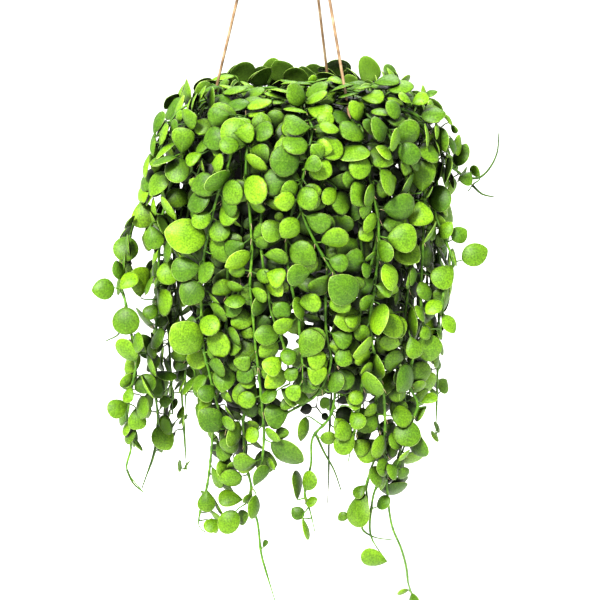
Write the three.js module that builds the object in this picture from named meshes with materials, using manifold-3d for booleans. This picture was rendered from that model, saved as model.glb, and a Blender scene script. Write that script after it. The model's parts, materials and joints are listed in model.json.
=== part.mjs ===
// A dischidia imbricata trailing from a hanging pot: dark pot, husk mix, three hanger wires,
// a wire hook, and one mesh for each leafy stem. Millimetres, +Z up.
// The pot's own frame has its origin at the middle of the rim. The whole part hangs from the
// seat of the hook, so that point is the origin of the exported group.

import * as THREE from 'three';
import { mergeVertices } from 'three/addons/utils/BufferGeometryUtils.js';
import Module from 'manifold-3d';

const wasm = await Module();
wasm.setup();

// Pot, in millimetres from the middle of its rim
const RIM_RADIUS = 90;
const RIM_THICKNESS = 3;
const POT_TOP_RADIUS = 79;
const POT_BASE_RADIUS = 58;
const POT_HEIGHT = 170;
const POT_WALL = 2.4;
const POT_FLOOR = 3;
const POT_SIDES = 24;
const FIT_GAP = 0.3;

// Hanger wires and hook
const WIRE_RADIUS = 1.3;
const WIRE_SIDES = 6;
const WIRE_RING_RADIUS = 85;
const WIRE_AZIMUTHS = [187, 307, 67];
const RIM_HOLE = { radius: 2.2, sides: 8 };
const GATHER_HEIGHT = 300;
const GATHER_RADIUS = 4.6;
const HOOK_WIRE_RADIUS = 2;
const HOOK_BEND_RADIUS = 14;
const HOOK_SHANK_TOP = 336;
const SEAT_HEIGHT = HOOK_SHANK_TOP + HOOK_BEND_RADIUS - HOOK_WIRE_RADIUS;

// Husk mix
const MIX_LEVEL = -14;
const ROOT_DEPTH = 12;
const MIX_RINGS = [0.7, 0.35];
const MIX_WAVE = { height: 1.6, lengthX: 7, lengthY: 8, phase: 1 };

// Stems and leaves
const STEM_RADIUS = 1.25;
const STEM_SIDES = 3;
const BLADE_THICKNESS = 1.5;
const BLADE_DOME = 0.11;
const ROOT_HALF_EDGE = 0.45;
const PETIOLE_HALF_WIDTH = 0.8;
const PETIOLE_DEPTH = 1.2;
const PETIOLE_LEAST = 3.4;
const LEAF_GAP = 0.4;
const LARGE_LEAF = 32;
const JOINT_HALF = 1.3;
const JOINT_REACH = 4;

// The front elevation on which the front stems are laid out: a sheet 600 mm square, in mm from
// its left and top edges, seen from 1500 mm away and 24.5 degrees above the level. One mm on the
// sheet is one mm at the pot's axis.
const SHEET_HALF = 300;
const VIEW_DISTANCE = 1500;
const VIEW_TILT = THREE.MathUtils.degToRad(24.5);
const VIEW_ROLL = THREE.MathUtils.degToRad(-0.97);
const VIEW_BELOW_RIM = 185.7;

// Nested shells on which the stems hang: lane 0 is the outer one of the main curtain, lane 4 the
// inner one. Each is a flat dome over the pot that turns down outside the rim.
const SHELL = { shoulder: 124, lanePitch: 5, crest: 32, crestPitch: 4.5, turn: -30, swell: 120 };
const ROOT_RING = { radius: 26, pitch: 9 };
const EVEN_ROUNDS = 4;

// Front stems: path and leaves as drawn on the front elevation. A leaf is its base, its tip and
// its width as seen, in mm on the sheet.
const FRONT_STEMS = [
  {
    lane: -1, spread: 52,
    path: [[205, 100], [181, 109], [166, 130], [160, 152], [148, 178], [140, 204], [131, 233], [124, 262],
      [121, 288], [127, 306], [131, 332], [135, 352], [136, 368], [131, 390], [126, 408], [128, 428],
      [131, 448], [127, 470], [143, 492]],
    leaves: [[154, 134, 163, 111, 12], [129, 206, 114, 222, 14], [142, 201, 146, 228, 27],
      [130, 237, 122, 262, 26], [121, 280, 116, 260, 12], [120, 287, 97, 290, 22],
      [120, 289, 136, 273, 17], [126, 307, 126, 335, 28], [134, 361, 120, 336, 20],
      [123, 388, 132, 372, 11], [131, 386, 127, 403, 12], [128, 403, 108, 413, 20],
      [130, 420, 124, 436, 8], [136, 408, 138, 430, 19], [135, 390, 155, 378, 20]],
  },
  {
    lane: 0, spread: 26,
    path: [[204, 104], [190, 128], [184, 152], [172, 180], [163, 212], [159, 255], [158, 290], [156, 330],
      [153, 365], [156, 398], [158, 424], [154, 455], [145, 480]],
    leaves: [[182, 154, 185, 126, 22], [176, 157, 180, 187, 24], [176, 156, 152, 167, 8],
      [178, 142, 152, 156, 9], [165, 160, 149, 164, 10], [166, 172, 150, 196, 20],
      [150, 226, 157, 249, 19], [172, 259, 165, 285, 22], [140, 297, 141, 266, 20],
      [157, 305, 145, 318, 14], [170, 312, 158, 322, 14], [148, 362, 143, 336, 18],
      [152, 368, 174, 376, 9], [155, 398, 165, 377, 13], [159, 402, 172, 401, 12],
      [156, 427, 170, 450, 22], [142, 438, 160, 438, 7]],
  },
  {
    lane: 0, spread: 12,
    path: [[236, 120], [231, 152], [229, 165], [222, 182], [214, 208], [208, 235], [204, 255], [201, 290],
      [202, 330], [204, 352], [210, 375], [216, 400], [222, 420], [229, 434]],
    leaves: [[231, 150, 240, 118, 32], [230, 172, 205, 190, 14], [206, 240, 164, 232, 34],
      [210, 213, 193, 226, 18], [211, 254, 246, 236, 31], [201, 268, 171, 270, 25],
      [198, 282, 184, 305, 27], [212, 280, 248, 278, 25], [200, 350, 171, 322, 36],
      [206, 341, 217, 307, 24], [207, 352, 227, 350, 19], [221, 429, 199, 409, 26],
      [214, 386, 199, 400, 18]],
  },
  {
    lane: 3, spread: 12,
    path: [[226, 92], [216, 104], [213, 136], [201, 164], [197, 184], [190, 205], [184, 235], [181, 270],
      [178, 305], [180, 335], [188, 361], [197, 378], [186, 396]],
    leaves: [[213, 82, 196, 106, 18], [212, 98, 193, 133, 24], [213, 137, 211, 163, 23],
      [200, 166, 219, 172, 20], [197, 184, 197, 213, 14], [189, 198, 165, 198, 20],
      [188, 360, 171, 353, 12], [188, 362, 175, 370, 10], [200, 357, 210, 380, 14],
      [196, 376, 182, 396, 7]],
  },
  {
    lane: 2, spread: 12,
    path: [[262, 118], [264, 134], [262, 153], [263, 175], [262, 205], [261, 240], [263, 265], [268, 290],
      [271, 310], [278, 330], [284, 345], [288, 365], [290, 385]],
    leaves: [[262, 133, 261, 114, 21], [262, 160, 260, 137, 23], [262, 153, 250, 174, 18],
      [262, 172, 271, 158, 6], [264, 173, 268, 207, 26], [268, 275, 282, 297, 17],
      [272, 303, 290, 314, 20], [279, 335, 254, 335, 20], [277, 342, 259, 358, 18],
      [282, 357, 264, 373, 20], [285, 371, 265, 388, 20], [277, 391, 261, 401, 12],
      [281, 389, 299, 404, 14], [292, 350, 308, 366, 22]],
  },
  {
    lane: 1, spread: 12,
    path: [[309, 142], [305, 160], [301, 178], [296, 200], [288, 226], [286, 250], [291, 285], [298, 315],
      [302, 357], [303, 385]],
    leaves: [[298, 184, 267, 205, 32], [288, 228, 261, 233, 22], [288, 232, 303, 262, 36],
      [279, 222, 279, 211, 9], [315, 270, 288, 276, 21], [303, 318, 294, 296, 12],
      [302, 357, 318, 331, 27], [309, 142, 288, 124, 26]],
  },
  {
    lane: 0, spread: 12,
    path: [[312, 130], [308, 158], [301, 184], [300, 206], [312, 236], [323, 256], [336, 276], [352, 298]],
    leaves: [[355, 300, 327, 275, 33], [307, 158, 274, 147, 28], [322, 157, 306, 139, 22],
      [304, 169, 322, 160, 17], [300, 182, 289, 172, 11]],
  },
  {
    lane: 2, spread: 12,
    path: [[318, 118], [318, 140], [324, 172], [319, 200], [321, 230], [328, 250], [326, 290], [326, 330],
      [331, 362], [321, 390], [306, 402], [289, 412], [270, 425]],
    leaves: [[316, 133, 311, 104, 21], [334, 147, 323, 170, 10], [338, 188, 323, 202, 16],
      [330, 247, 338, 261, 15], [329, 247, 350, 221, 26], [324, 183, 357, 182, 17],
      [289, 411, 266, 419, 26], [319, 388, 297, 375, 24], [330, 392, 341, 372, 17]],
  },
  {
    lane: 0, spread: 12,
    path: [[392, 140], [383, 154], [370, 168], [372, 190], [377, 214], [379, 240], [377, 266], [374, 292],
      [370, 316], [372, 342], [378, 368], [384, 396], [385, 420], [385, 446], [386, 472], [388, 500],
      [392, 526], [401, 548], [406, 566], [408, 582], [413, 600]],
    leaves: [[390, 158, 372, 148, 12], [387, 238, 417, 238, 30], [380, 240, 390, 262, 15],
      [386, 263, 393, 291, 18], [380, 304, 377, 338, 18], [378, 378, 375, 351, 14],
      [385, 397, 390, 367, 22], [378, 396, 364, 368, 17], [382, 442, 357, 457, 24],
      [411, 589, 396, 592, 8], [412, 593, 416, 612, 12]],
  },
  {
    lane: 1, spread: 12,
    path: [[386, 126], [402, 150], [408, 190], [411, 215], [412, 245], [409, 280], [405, 320], [404, 350],
      [405, 384], [404, 410], [403, 440], [393, 470], [376, 487], [371, 510], [371, 536], [387, 562]],
    leaves: [[385, 129, 381, 94, 28], [402, 122, 403, 162, 31], [420, 192, 420, 160, 25],
      [383, 200, 391, 169, 28], [409, 208, 388, 212, 19], [419, 201, 421, 227, 26],
      [395, 243, 418, 262, 26], [412, 306, 414, 340, 8], [390, 316, 402, 340, 24],
      [410, 336, 417, 358, 18], [407, 384, 429, 364, 22], [408, 386, 441, 382, 22],
      [393, 419, 402, 399, 18], [377, 487, 408, 491, 17], [377, 507, 391, 496, 12],
      [387, 562, 361, 554, 20]],
  },
  {
    lane: -1, spread: 34,
    path: [[410, 118], [428, 140], [436, 160], [437, 185], [434, 212], [440, 228], [447, 244], [454, 262],
      [446, 282], [442, 300], [443, 315], [440, 334]],
    leaves: [[437, 185, 443, 213, 22], [434, 212, 442, 228, 12], [440, 238, 452, 222, 14],
      [452, 240, 468, 229, 18], [462, 260, 488, 249, 23], [453, 265, 434, 287, 24],
      [430, 300, 419, 278, 18], [447, 288, 434, 300, 13], [441, 301, 425, 314, 15],
      [443, 315, 455, 333, 15]],
  },
  {
    lane: -2, spread: 44,
    path: [[398, 108], [412, 112], [424, 122], [438, 148], [451, 166], [464, 177], [473, 185], [468, 191]],
    leaves: [[438, 127, 445, 152, 14], [450, 134, 453, 152, 8], [457, 166, 466, 143, 15],
      [471, 172, 461, 186, 15], [480, 178, 471, 166, 8], [417, 122, 421, 141, 9],
      [436, 122, 437, 140, 5], [438, 160, 450, 187, 10], [412, 104, 428, 95, 14],
      [425, 95, 438, 92, 8], [421, 117, 446, 113, 17], [411, 103, 398, 94, 9],
      [441, 113, 455, 124, 6], [451, 124, 457, 133, 5]],
  },
  {
    lane: 0, spread: 20,
    path: [[402, 134], [418, 160], [424, 190], [424, 225], [422, 262], [421, 300], [424, 332], [413, 358],
      [409, 384], [419, 403], [411, 424], [404, 447], [395, 470]],
    leaves: [[422, 240, 430, 268, 15], [428, 334, 432, 366, 26], [421, 403, 437, 395, 10],
      [426, 404, 412, 417, 10], [409, 420, 405, 446, 28], [412, 428, 423, 459, 17]],
  },
  {
    lane: 3, spread: 12,
    path: [[336, 126], [338, 150], [340, 185], [343, 220], [344, 260], [340, 300], [341, 335], [336, 365],
      [335, 396], [331, 416], [313, 434], [311, 464], [304, 490], [310, 510], [315, 532]],
    leaves: [[320, 438, 338, 438, 14], [308, 412, 304, 437, 12], [304, 490, 315, 470, 16],
      [297, 500, 297, 470, 10], [303, 518, 292, 508, 14], [303, 518, 309, 540, 5],
      [306, 504, 319, 498, 9], [346, 396, 360, 408, 12]],
  },
  {
    lane: 1, spread: 12,
    path: [[362, 128], [360, 160], [366, 185], [378, 206], [376, 240], [370, 270], [363, 300], [359, 318],
      [361, 345], [363, 372], [361, 400], [355, 418], [354, 436], [348, 462]],
    leaves: [[361, 317, 330, 322, 26], [360, 345, 328, 345, 28], [358, 398, 350, 370, 17],
      [352, 412, 363, 429, 17], [353, 434, 337, 453, 20], [352, 284, 349, 252, 24],
      [362, 190, 345, 219, 26], [352, 142, 354, 163, 33]],
  },
  {
    lane: 3, spread: 12,
    path: [[238, 120], [240, 150], [243, 190], [242, 230], [240, 270], [238, 306], [244, 340], [250, 378],
      [243, 421], [245, 462], [252, 490], [247, 503], [257, 520], [260, 548], [265, 568], [276, 604]],
    leaves: [[238, 306, 244, 329, 23], [248, 340, 243, 365, 24], [252, 378, 240, 406, 26],
      [239, 421, 229, 447, 14], [256, 442, 243, 421, 14], [252, 494, 243, 503, 8],
      [256, 495, 252, 519, 12], [243, 500, 218, 497, 16], [263, 548, 267, 540, 5],
      [236, 511, 222, 533, 22]],
  },
  {
    lane: 2, spread: 12,
    path: [[214, 140], [220, 180], [226, 220], [228, 260], [227, 300], [226, 335], [225, 366], [217, 400],
      [213, 432], [211, 456], [208, 482], [200, 512], [199, 526], [206, 533]],
    leaves: [[226, 366, 222, 393, 23], [228, 455, 223, 480, 18], [207, 490, 206, 512, 18],
      [222, 519, 206, 528, 14]],
  },
  {
    lane: 1, spread: 12,
    path: [[248, 146], [246, 180], [250, 215], [252, 250], [250, 285], [253, 316], [256, 350], [260, 385],
      [263, 415], [264, 440], [261, 466], [254, 486]],
    leaves: [[271, 442, 303, 463, 24], [254, 486, 266, 464, 14], [254, 316, 265, 294, 14],
      [246, 300, 224, 302, 14], [250, 252, 225, 268, 16]],
  },
  {
    lane: 2, spread: 12,
    path: [[352, 150], [356, 190], [360, 230], [364, 270], [370, 300], [377, 335], [380, 370], [376, 405],
      [380, 442], [372, 466], [366, 486], [368, 512], [362, 528], [374, 537], [392, 540]],
    leaves: [[364, 492, 355, 527, 22], [366, 485, 354, 497, 11], [347, 513, 338, 521, 10]],
  },
  {
    lane: 4, spread: 0,
    path: [[244, 118], [238, 108], [235, 98], [241, 90]],
    leaves: [[239, 119, 232, 103, 12], [240, 106, 261, 107, 10], [240, 117, 255, 113, 6],
      [235, 98, 236, 80, 10], [257, 92, 241, 86, 7], [235, 76, 211, 80, 6]],
  },
  {
    lane: 4, spread: 0,
    path: [[286, 110], [294, 102], [303, 92], [309, 82]],
    leaves: [[279, 123, 267, 101, 19], [298, 109, 291, 87, 23], [284, 112, 299, 104, 9],
      [283, 91, 265, 93, 6], [276, 90, 297, 77, 8], [303, 92, 300, 82, 10], [308, 82, 318, 76, 8]],
  },
  {
    lane: 4, spread: 0,
    path: [[342, 142], [350, 122], [352, 106], [345, 94], [334, 91]],
    leaves: [[333, 90, 332, 76, 14], [346, 84, 369, 88, 14], [362, 110, 357, 92, 12],
      [367, 130, 355, 113, 14], [323, 141, 345, 122, 17], [345, 150, 328, 139, 12]],
  },
  {
    lane: 4, spread: 0,
    path: [[372, 124], [382, 108], [394, 98], [397, 88], [393, 80]],
    leaves: [[392, 92, 374, 84, 7], [394, 80, 386, 64, 13], [396, 88, 410, 76, 5]],
  },
];

// Side and back stems: evenly spaced round the part of the pot that the front stems leave, with
// lanes in turn. Over the pot they lie flatter than the front ones.
const SIDE_STEMS = {
  count: 20,
  firstAzimuth: -14,
  lastAzimuth: 194,
  lanes: [0, 2, 1, 3],
  spreads: [16, 12, 14, 12],
  step: 50,
  dropLeast: 275,
  dropMost: 405,
  flatAbove: 5,
  flatShare: 0.4,
};

// Vectors as plain lists
const add = (a, b) => [a[0] + b[0], a[1] + b[1], a[2] + b[2]];
const sub = (a, b) => [a[0] - b[0], a[1] - b[1], a[2] - b[2]];
const scaled = (a, k) => [a[0] * k, a[1] * k, a[2] * k];
const along = (a, b, k) => [a[0] + b[0] * k, a[1] + b[1] * k, a[2] + b[2] * k];
const dot = (a, b) => a[0] * b[0] + a[1] * b[1] + a[2] * b[2];
const length = (a) => Math.sqrt(dot(a, a));
const unit = (a) => scaled(a, 1 / Math.max(length(a), 1e-9));
const cross = (a, b) => [
  a[1] * b[2] - a[2] * b[1],
  a[2] * b[0] - a[0] * b[2],
  a[0] * b[1] - a[1] * b[0],
];
const polar = (radius, azimuth, z) => [radius * Math.cos(azimuth), radius * Math.sin(azimuth), z];
const clamp = (x, low, high) => Math.min(high, Math.max(low, x));

// A fixed draw from 0 to 1 for any list of whole numbers
function draw(...keys) {
  let hash = 2166136261;
  for (const key of keys) {
    hash = Math.imul(hash ^ key, 16777619) >>> 0;
    hash = (hash ^ (hash >>> 13)) >>> 0;
    hash = Math.imul(hash, 1540483477) >>> 0;
    hash = (hash ^ (hash >>> 15)) >>> 0;
  }
  return hash / 4294967296;
}

// The point behind a place on the front elevation, back mm further from the viewer than the
// middle of the sheet
function sheetPoint(u, v, back) {
  const across = u - SHEET_HALF;
  const up = SHEET_HALF - v;
  const grow = (VIEW_DISTANCE + back) / VIEW_DISTANCE;
  const x = (across * Math.cos(VIEW_ROLL) - up * Math.sin(VIEW_ROLL)) * grow;
  const rise = (across * Math.sin(VIEW_ROLL) + up * Math.cos(VIEW_ROLL)) * grow;
  return [
    x,
    rise * Math.sin(VIEW_TILT) + back * Math.cos(VIEW_TILT),
    rise * Math.cos(VIEW_TILT) - back * Math.sin(VIEW_TILT) - VIEW_BELOW_RIM,
  ];
}

const shoulderOf = (lane) => SHELL.shoulder - SHELL.lanePitch * lane;
const crestOf = (lane) => SHELL.crest - SHELL.crestPitch * lane;
const rootRingOf = (lane) => ROOT_RING.radius + ROOT_RING.pitch * lane;

function shellRadius(lane, spread, z) {
  const crest = crestOf(lane);
  if (z >= crest) return 0;
  if (z > SHELL.turn) {
    const k = (z - SHELL.turn) / (crest - SHELL.turn);
    return shoulderOf(lane) * (1 - k ** 4) ** 0.25;
  }
  const t = Math.min(1, (SHELL.turn - z) / SHELL.swell);
  return shoulderOf(lane) + spread * t * t * (3 - 2 * t);
}

function domeHeight(lane, radius) {
  const k = Math.min(1, radius / shoulderOf(lane));
  return SHELL.turn + (crestOf(lane) - SHELL.turn) * (1 - k ** 4) ** 0.25;
}

// How far back the sight line through (u, v) meets the shell, or passes nearest to it
function backOnShell(u, v, lane, spread) {
  const outside = (back) => {
    const p = sheetPoint(u, v, back);
    return Math.hypot(p[0], p[1]) - shellRadius(lane, spread, p[2]);
  };
  let best = 0;
  let least = Infinity;
  for (let back = -260; back <= 160; back += 4) {
    const gap = outside(back);
    if (gap < 0) {
      let front = back - 4;
      let inside = back;
      for (let i = 0; i < 16; i += 1) {
        const middle = (front + inside) / 2;
        if (outside(middle) < 0) inside = middle;
        else front = middle;
      }
      return inside;
    }
    if (gap < least) {
      least = gap;
      best = back;
    }
  }
  return best;
}

// From its hole in the mix up to the shell and out along the dome to the given point
function rootPath(lane, azimuth, reach) {
  const ring = Math.max(6, Math.min(rootRingOf(lane), reach - 12));
  const points = [
    polar(ring, azimuth, MIX_LEVEL - ROOT_DEPTH),
    polar(ring, azimuth, MIX_LEVEL + 3),
    polar(ring + 1, azimuth, domeHeight(lane, ring + 1) - 7),
  ];
  for (let radius = ring + 8; radius < reach - 8; radius += 27) {
    points.push(polar(radius, azimuth, domeHeight(lane, radius)));
  }
  return points;
}

// A front stem hangs on its shell where the drawn path shows it. Its depths are evened out, so that
// it doesn't jump where the sight lines graze the shell, but over the pot it isn't let in.
function frontStem(spec) {
  const hung = spec.path.map(([u, v]) => backOnShell(u, v, spec.lane, spec.spread));
  let backs = hung;
  for (let round = 0; round < EVEN_ROUNDS; round += 1) {
    const from = backs;
    backs = from.map((back, i) => (
      (from[Math.max(0, i - 1)] + 2 * back + from[Math.min(from.length - 1, i + 1)]) / 4));
  }
  const drawn = spec.path.map(([u, v], i) => {
    const [x, y, z] = sheetPoint(u, v, hung[i]);
    const overPot = z > SHELL.turn && Math.hypot(x, y) > POT_TOP_RADIUS - 12;
    return sheetPoint(u, v, overPot ? Math.min(hung[i], backs[i]) : backs[i]);
  });
  const first = drawn[0];
  const azimuth = Math.atan2(first[1], first[0]);
  return [...rootPath(spec.lane, azimuth, Math.hypot(first[0], first[1])), ...drawn];
}

function sideStem(index) {
  const { count, firstAzimuth, lastAzimuth, lanes, spreads, step, dropLeast, dropMost } = SIDE_STEMS;
  const { flatAbove, flatShare } = SIDE_STEMS;
  const lane = lanes[index % lanes.length];
  const spread = spreads[index % lanes.length];
  const share = index / (count - 1);
  const azimuth = THREE.MathUtils.degToRad(firstAzimuth + (lastAzimuth - firstAzimuth) * share);
  const drop = dropLeast + (dropMost - dropLeast) * draw(index, 1) ** 2;
  const edge = shoulderOf(lane) - 4;
  const dome = [...rootPath(lane, azimuth, edge), polar(edge, azimuth, domeHeight(lane, edge))];
  const points = dome.map(([x, y, z]) => [x, y, Math.min(z, flatAbove + (z - flatAbove) * flatShare)]);
  const sway = (draw(index, 2) - 0.5) * 0.1;
  const beat = 60 + 50 * draw(index, 3);
  let z = SHELL.turn - 6 - step * draw(index, 4);
  while (z > -drop) {
    const lean = sway * Math.sin((SHELL.turn - z) / beat);
    points.push(polar(shellRadius(lane, spread, z), azimuth + lean, z));
    z -= step * (0.85 + 0.3 * draw(index, points.length, 5));
  }
  return points;
}

// The outline of a leaf, as shares of its length and width on one side of the midrib
const LARGE_OUTLINE = [[0.16, 0.34], [0.46, 0.5], [0.79, 0.4]];
const SMALL_OUTLINE = [[0.27, 0.43], [0.73, 0.44]];

// Corners of a leaf: two at its root inside the stem, its rim all round, the middle of its upper
// and lower face, and the underside of its petiole at the rim
function leafCorners(leaf) {
  const { root, base, midrib, side, normal, long, wide } = leaf;
  const place = (m, s, n) => along(along(along(base, midrib, m), side, s), normal, n);
  const half = Math.min(PETIOLE_HALF_WIDTH, wide * 0.2);
  const outline = long >= LARGE_LEAF ? LARGE_OUTLINE : SMALL_OUTLINE;
  const right = outline.map(([m, s]) => place(m * long, -s * wide, 0));
  const left = outline.map(([m, s]) => place(m * long, s * wide, 0)).reverse();
  const rim = [place(0, -half, 0), ...right, place(long, 0, 0), ...left, place(0, half, 0)];
  const dome = BLADE_DOME * long;
  return {
    roots: [along(root, normal, ROOT_HALF_EDGE), along(root, normal, -ROOT_HALF_EDGE)],
    rim,
    top: place(0.52 * long, 0, dome),
    bottom: place(0.52 * long, 0, dome - BLADE_THICKNESS),
    under: along(base, unit(cross(side, sub(base, root))), PETIOLE_DEPTH),
  };
}

function leafBody(leaf) {
  const { roots, rim, top, bottom, under } = leafCorners(leaf);
  const all = [...roots, ...rim, top, under];
  const centre = scaled(all.reduce(add), 1 / all.length);
  const reach = Math.max(...all.map((p) => length(sub(p, centre))));
  return { leaf, all, blade: [...rim, top, bottom], top, bottom, under, rim, centre, reach };
}

function spanOn(points, axis) {
  let low = Infinity;
  let high = -Infinity;
  for (const p of points) {
    const d = dot(p, axis);
    if (d < low) low = d;
    if (d > high) high = d;
  }
  return [low, high];
}

function apartOn(axis, a, b, gap) {
  const size = length(axis);
  if (size < 1e-4) return false;
  const direction = scaled(axis, 1 / size);
  const [lowA, highA] = spanOn(a, direction);
  const [lowB, highB] = spanOn(b, direction);
  return lowA - highB > gap || lowB - highA > gap;
}

// Whether a plane with the gap on both sides of it parts two leaves
function leavesApart(a, b, pa, pb, gap) {
  if (length(sub(a.centre, b.centre)) > a.reach + b.reach + gap) return true;
  const la = a.leaf;
  const lb = b.leaf;
  const axes = [la.normal, lb.normal, sub(b.centre, a.centre), la.midrib, lb.midrib, la.side, lb.side,
    cross(la.midrib, lb.midrib), cross(la.side, lb.side), cross(la.midrib, lb.side),
    cross(la.side, lb.midrib), cross(la.normal, lb.normal)];
  return axes.some((axis) => apartOn(axis, pa, pb, gap));
}

// The same for a leaf and a rod, whose ends stand for it and whose radius widens the gap
function rodApart(a, pa, rod, gap) {
  const wide = gap + rod.radius;
  if (length(sub(a.centre, rod.centre)) > a.reach + rod.reach + wide) return true;
  const ends = [rod.from, rod.to];
  const { normal, midrib, side } = a.leaf;
  const t = clamp(dot(sub(a.centre, rod.from), rod.direction), 0, rod.long);
  const nearest = along(rod.from, rod.direction, t);
  const axes = [normal, sub(a.centre, nearest), cross(rod.direction, normal),
    cross(rod.direction, midrib), cross(rod.direction, side), midrib, side];
  return axes.some((axis) => apartOn(axis, pa, ends, wide));
}

function rodsAlong(points, radius, stem) {
  return points.slice(1).map((to, i) => {
    const from = points[i];
    const long = length(sub(to, from));
    return {
      from,
      to,
      radius,
      stem,
      long,
      direction: unit(sub(to, from)),
      centre: scaled(add(from, to), 0.5),
      reach: long / 2,
    };
  });
}

// Clear of the pot's wall, its rim and the mix
function clearOfPot(p) {
  const radius = Math.hypot(p[0], p[1]);
  const [, , z] = p;
  if (z > 3 || radius > RIM_RADIUS + 3) return true;
  if (radius < POT_TOP_RADIUS - POT_WALL - 3 && z > MIX_LEVEL + 3.5) return true;
  const wall = POT_TOP_RADIUS - (POT_TOP_RADIUS - POT_BASE_RADIUS) * (-z / POT_HEIGHT);
  return z < -RIM_THICKNESS - 3 && (radius > wall + 3 || z < -POT_HEIGHT - 3);
}

function leafClearOfPot(body) {
  const inner = [body.leaf.root, body.top];
  body.rim.forEach((p, i) => {
    const next = body.rim[(i + 1) % body.rim.length];
    const up = sub(body.top, p);
    inner.push(p, along(p, sub(next, p), 0.5), along(p, up, 1 / 3), along(p, up, 2 / 3));
  });
  inner.push(along(body.leaf.root, sub(body.leaf.base, body.leaf.root), 0.5));
  return inner.every(clearOfPot);
}

// Where two rods come nearest: their shares of the way, and the way from the first to the second
function nearestOfRods(p, q, a, b) {
  const d = sub(q, p);
  const e = sub(b, a);
  const r = sub(p, a);
  const [dd, ee, de, dr, er] = [dot(d, d), dot(e, e), dot(d, e), dot(d, r), dot(e, r)];
  const flat = dd * ee - de * de;
  let s = flat > 1e-9 ? clamp((de * er - dr * ee) / flat, 0, 1) : 0.5;
  const t = clamp((de * s + er) / ee, 0, 1);
  s = clamp((de * t - dr) / dd, 0, 1);
  return { s, t, way: sub(along(a, e, t), along(p, d, s)) };
}

// Where two stems would touch, the later one is bent aside. A stem keeps clear of the wires too.
function partStems(stems, wires) {
  const shift = (points, i, move) => {
    if (i > 1) {
      points[i] = add(points[i], move);
      return;
    }
    const level = [move[0], move[1], 0];
    points[0] = add(points[0], level);
    points[1] = add(points[1], level);
  };
  for (let round = 0; round < PART_ROUNDS; round += 1) {
    stems.forEach(({ points }, i) => {
      for (const other of [...wires, ...stems.slice(0, i).map((stem) => stem.points)]) {
        for (let j = 0; j < points.length - 1; j += 1) {
          for (let k = 0; k < other.length - 1; k += 1) {
            const [p, q, a, b] = [points[j], points[j + 1], other[k], other[k + 1]];
            const far = length(sub(q, p)) + length(sub(b, a)) + 2 * STEM_APART;
            if (length(sub(add(p, q), add(a, b))) > far) continue;
            const { s, way } = nearestOfRods(p, q, a, b);
            const gap = length(way);
            if (gap >= STEM_APART) continue;
            const aside = gap > 1e-3 ? scaled(way, -1 / gap) : unit([p[1], -p[0], 0]);
            const move = (STEM_APART + 0.2 - gap) / ((1 - s) ** 2 + s * s);
            shift(points, j, scaled(aside, move * (1 - s)));
            shift(points, j + 1, scaled(aside, move * s));
          }
        }
      }
    });
  }
}

// Where a point appears on the front elevation, and how far back it is
function onSheet(p) {
  const height = p[2] + VIEW_BELOW_RIM;
  const back = p[1] * Math.cos(VIEW_TILT) - height * Math.sin(VIEW_TILT);
  const shrink = VIEW_DISTANCE / (VIEW_DISTANCE + back);
  const x = p[0] * shrink;
  const rise = (height * Math.cos(VIEW_TILT) + p[1] * Math.sin(VIEW_TILT)) * shrink;
  return [
    SHEET_HALF + x * Math.cos(VIEW_ROLL) + rise * Math.sin(VIEW_ROLL),
    SHEET_HALF - (rise * Math.cos(VIEW_ROLL) - x * Math.sin(VIEW_ROLL)),
    back,
  ];
}

const TO_VIEWER = [0, -Math.cos(VIEW_TILT), Math.sin(VIEW_TILT)];

// The place on a stem that appears nearest to (u, v): its distance along the stem and how far back
function nearestOnSheet(points, u, v) {
  let best = { miss: Infinity };
  for (let i = 2; i < points.length - 1; i += 1) {
    const a = onSheet(points[i]);
    const b = onSheet(points[i + 1]);
    const du = b[0] - a[0];
    const dv = b[1] - a[1];
    const t = clamp(((u - a[0]) * du + (v - a[1]) * dv) / Math.max(du * du + dv * dv, 1e-6), 0, 1);
    const miss = Math.hypot(u - a[0] - t * du, v - a[1] - t * dv);
    if (miss < best.miss - 1e-6) best = { miss, index: i, t, back: a[2] + t * (b[2] - a[2]) };
  }
  return best;
}

// A point of the stem some mm up or down it from the place given by an index and a share
function stroll(points, index, share, distance) {
  let i = index;
  let at = share * length(sub(points[i + 1], points[i])) + distance;
  while (at < 0 && i > 2) {
    i -= 1;
    at += length(sub(points[i + 1], points[i]));
  }
  while (at > length(sub(points[i + 1], points[i])) && i < points.length - 2) {
    at -= length(sub(points[i + 1], points[i]));
    i += 1;
  }
  const span = length(sub(points[i + 1], points[i]));
  return along(points[i], unit(sub(points[i + 1], points[i])), clamp(at, 0, span));
}

// The petiole springs from where it runs on best into the midrib
function bestRoot(points, near, base, midrib) {
  let best = { score: -Infinity };
  for (const distance of ROOT_REACH) {
    const root = stroll(points, near.index, near.t, distance);
    const score = dot(unit(sub(base, root)), midrib) - 0.03 * Math.abs(distance);
    if (score > best.score + 1e-9) best = { score, root };
  }
  return best.root;
}

function makeLeaf(root, base, midrib, side, long, wide) {
  const lift = length(sub(base, root));
  const start = lift < PETIOLE_LEAST ? along(base, midrib, PETIOLE_LEAST - lift) : base;
  return { root, base: start, midrib, side, normal: cross(midrib, side), long, wide };
}

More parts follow.
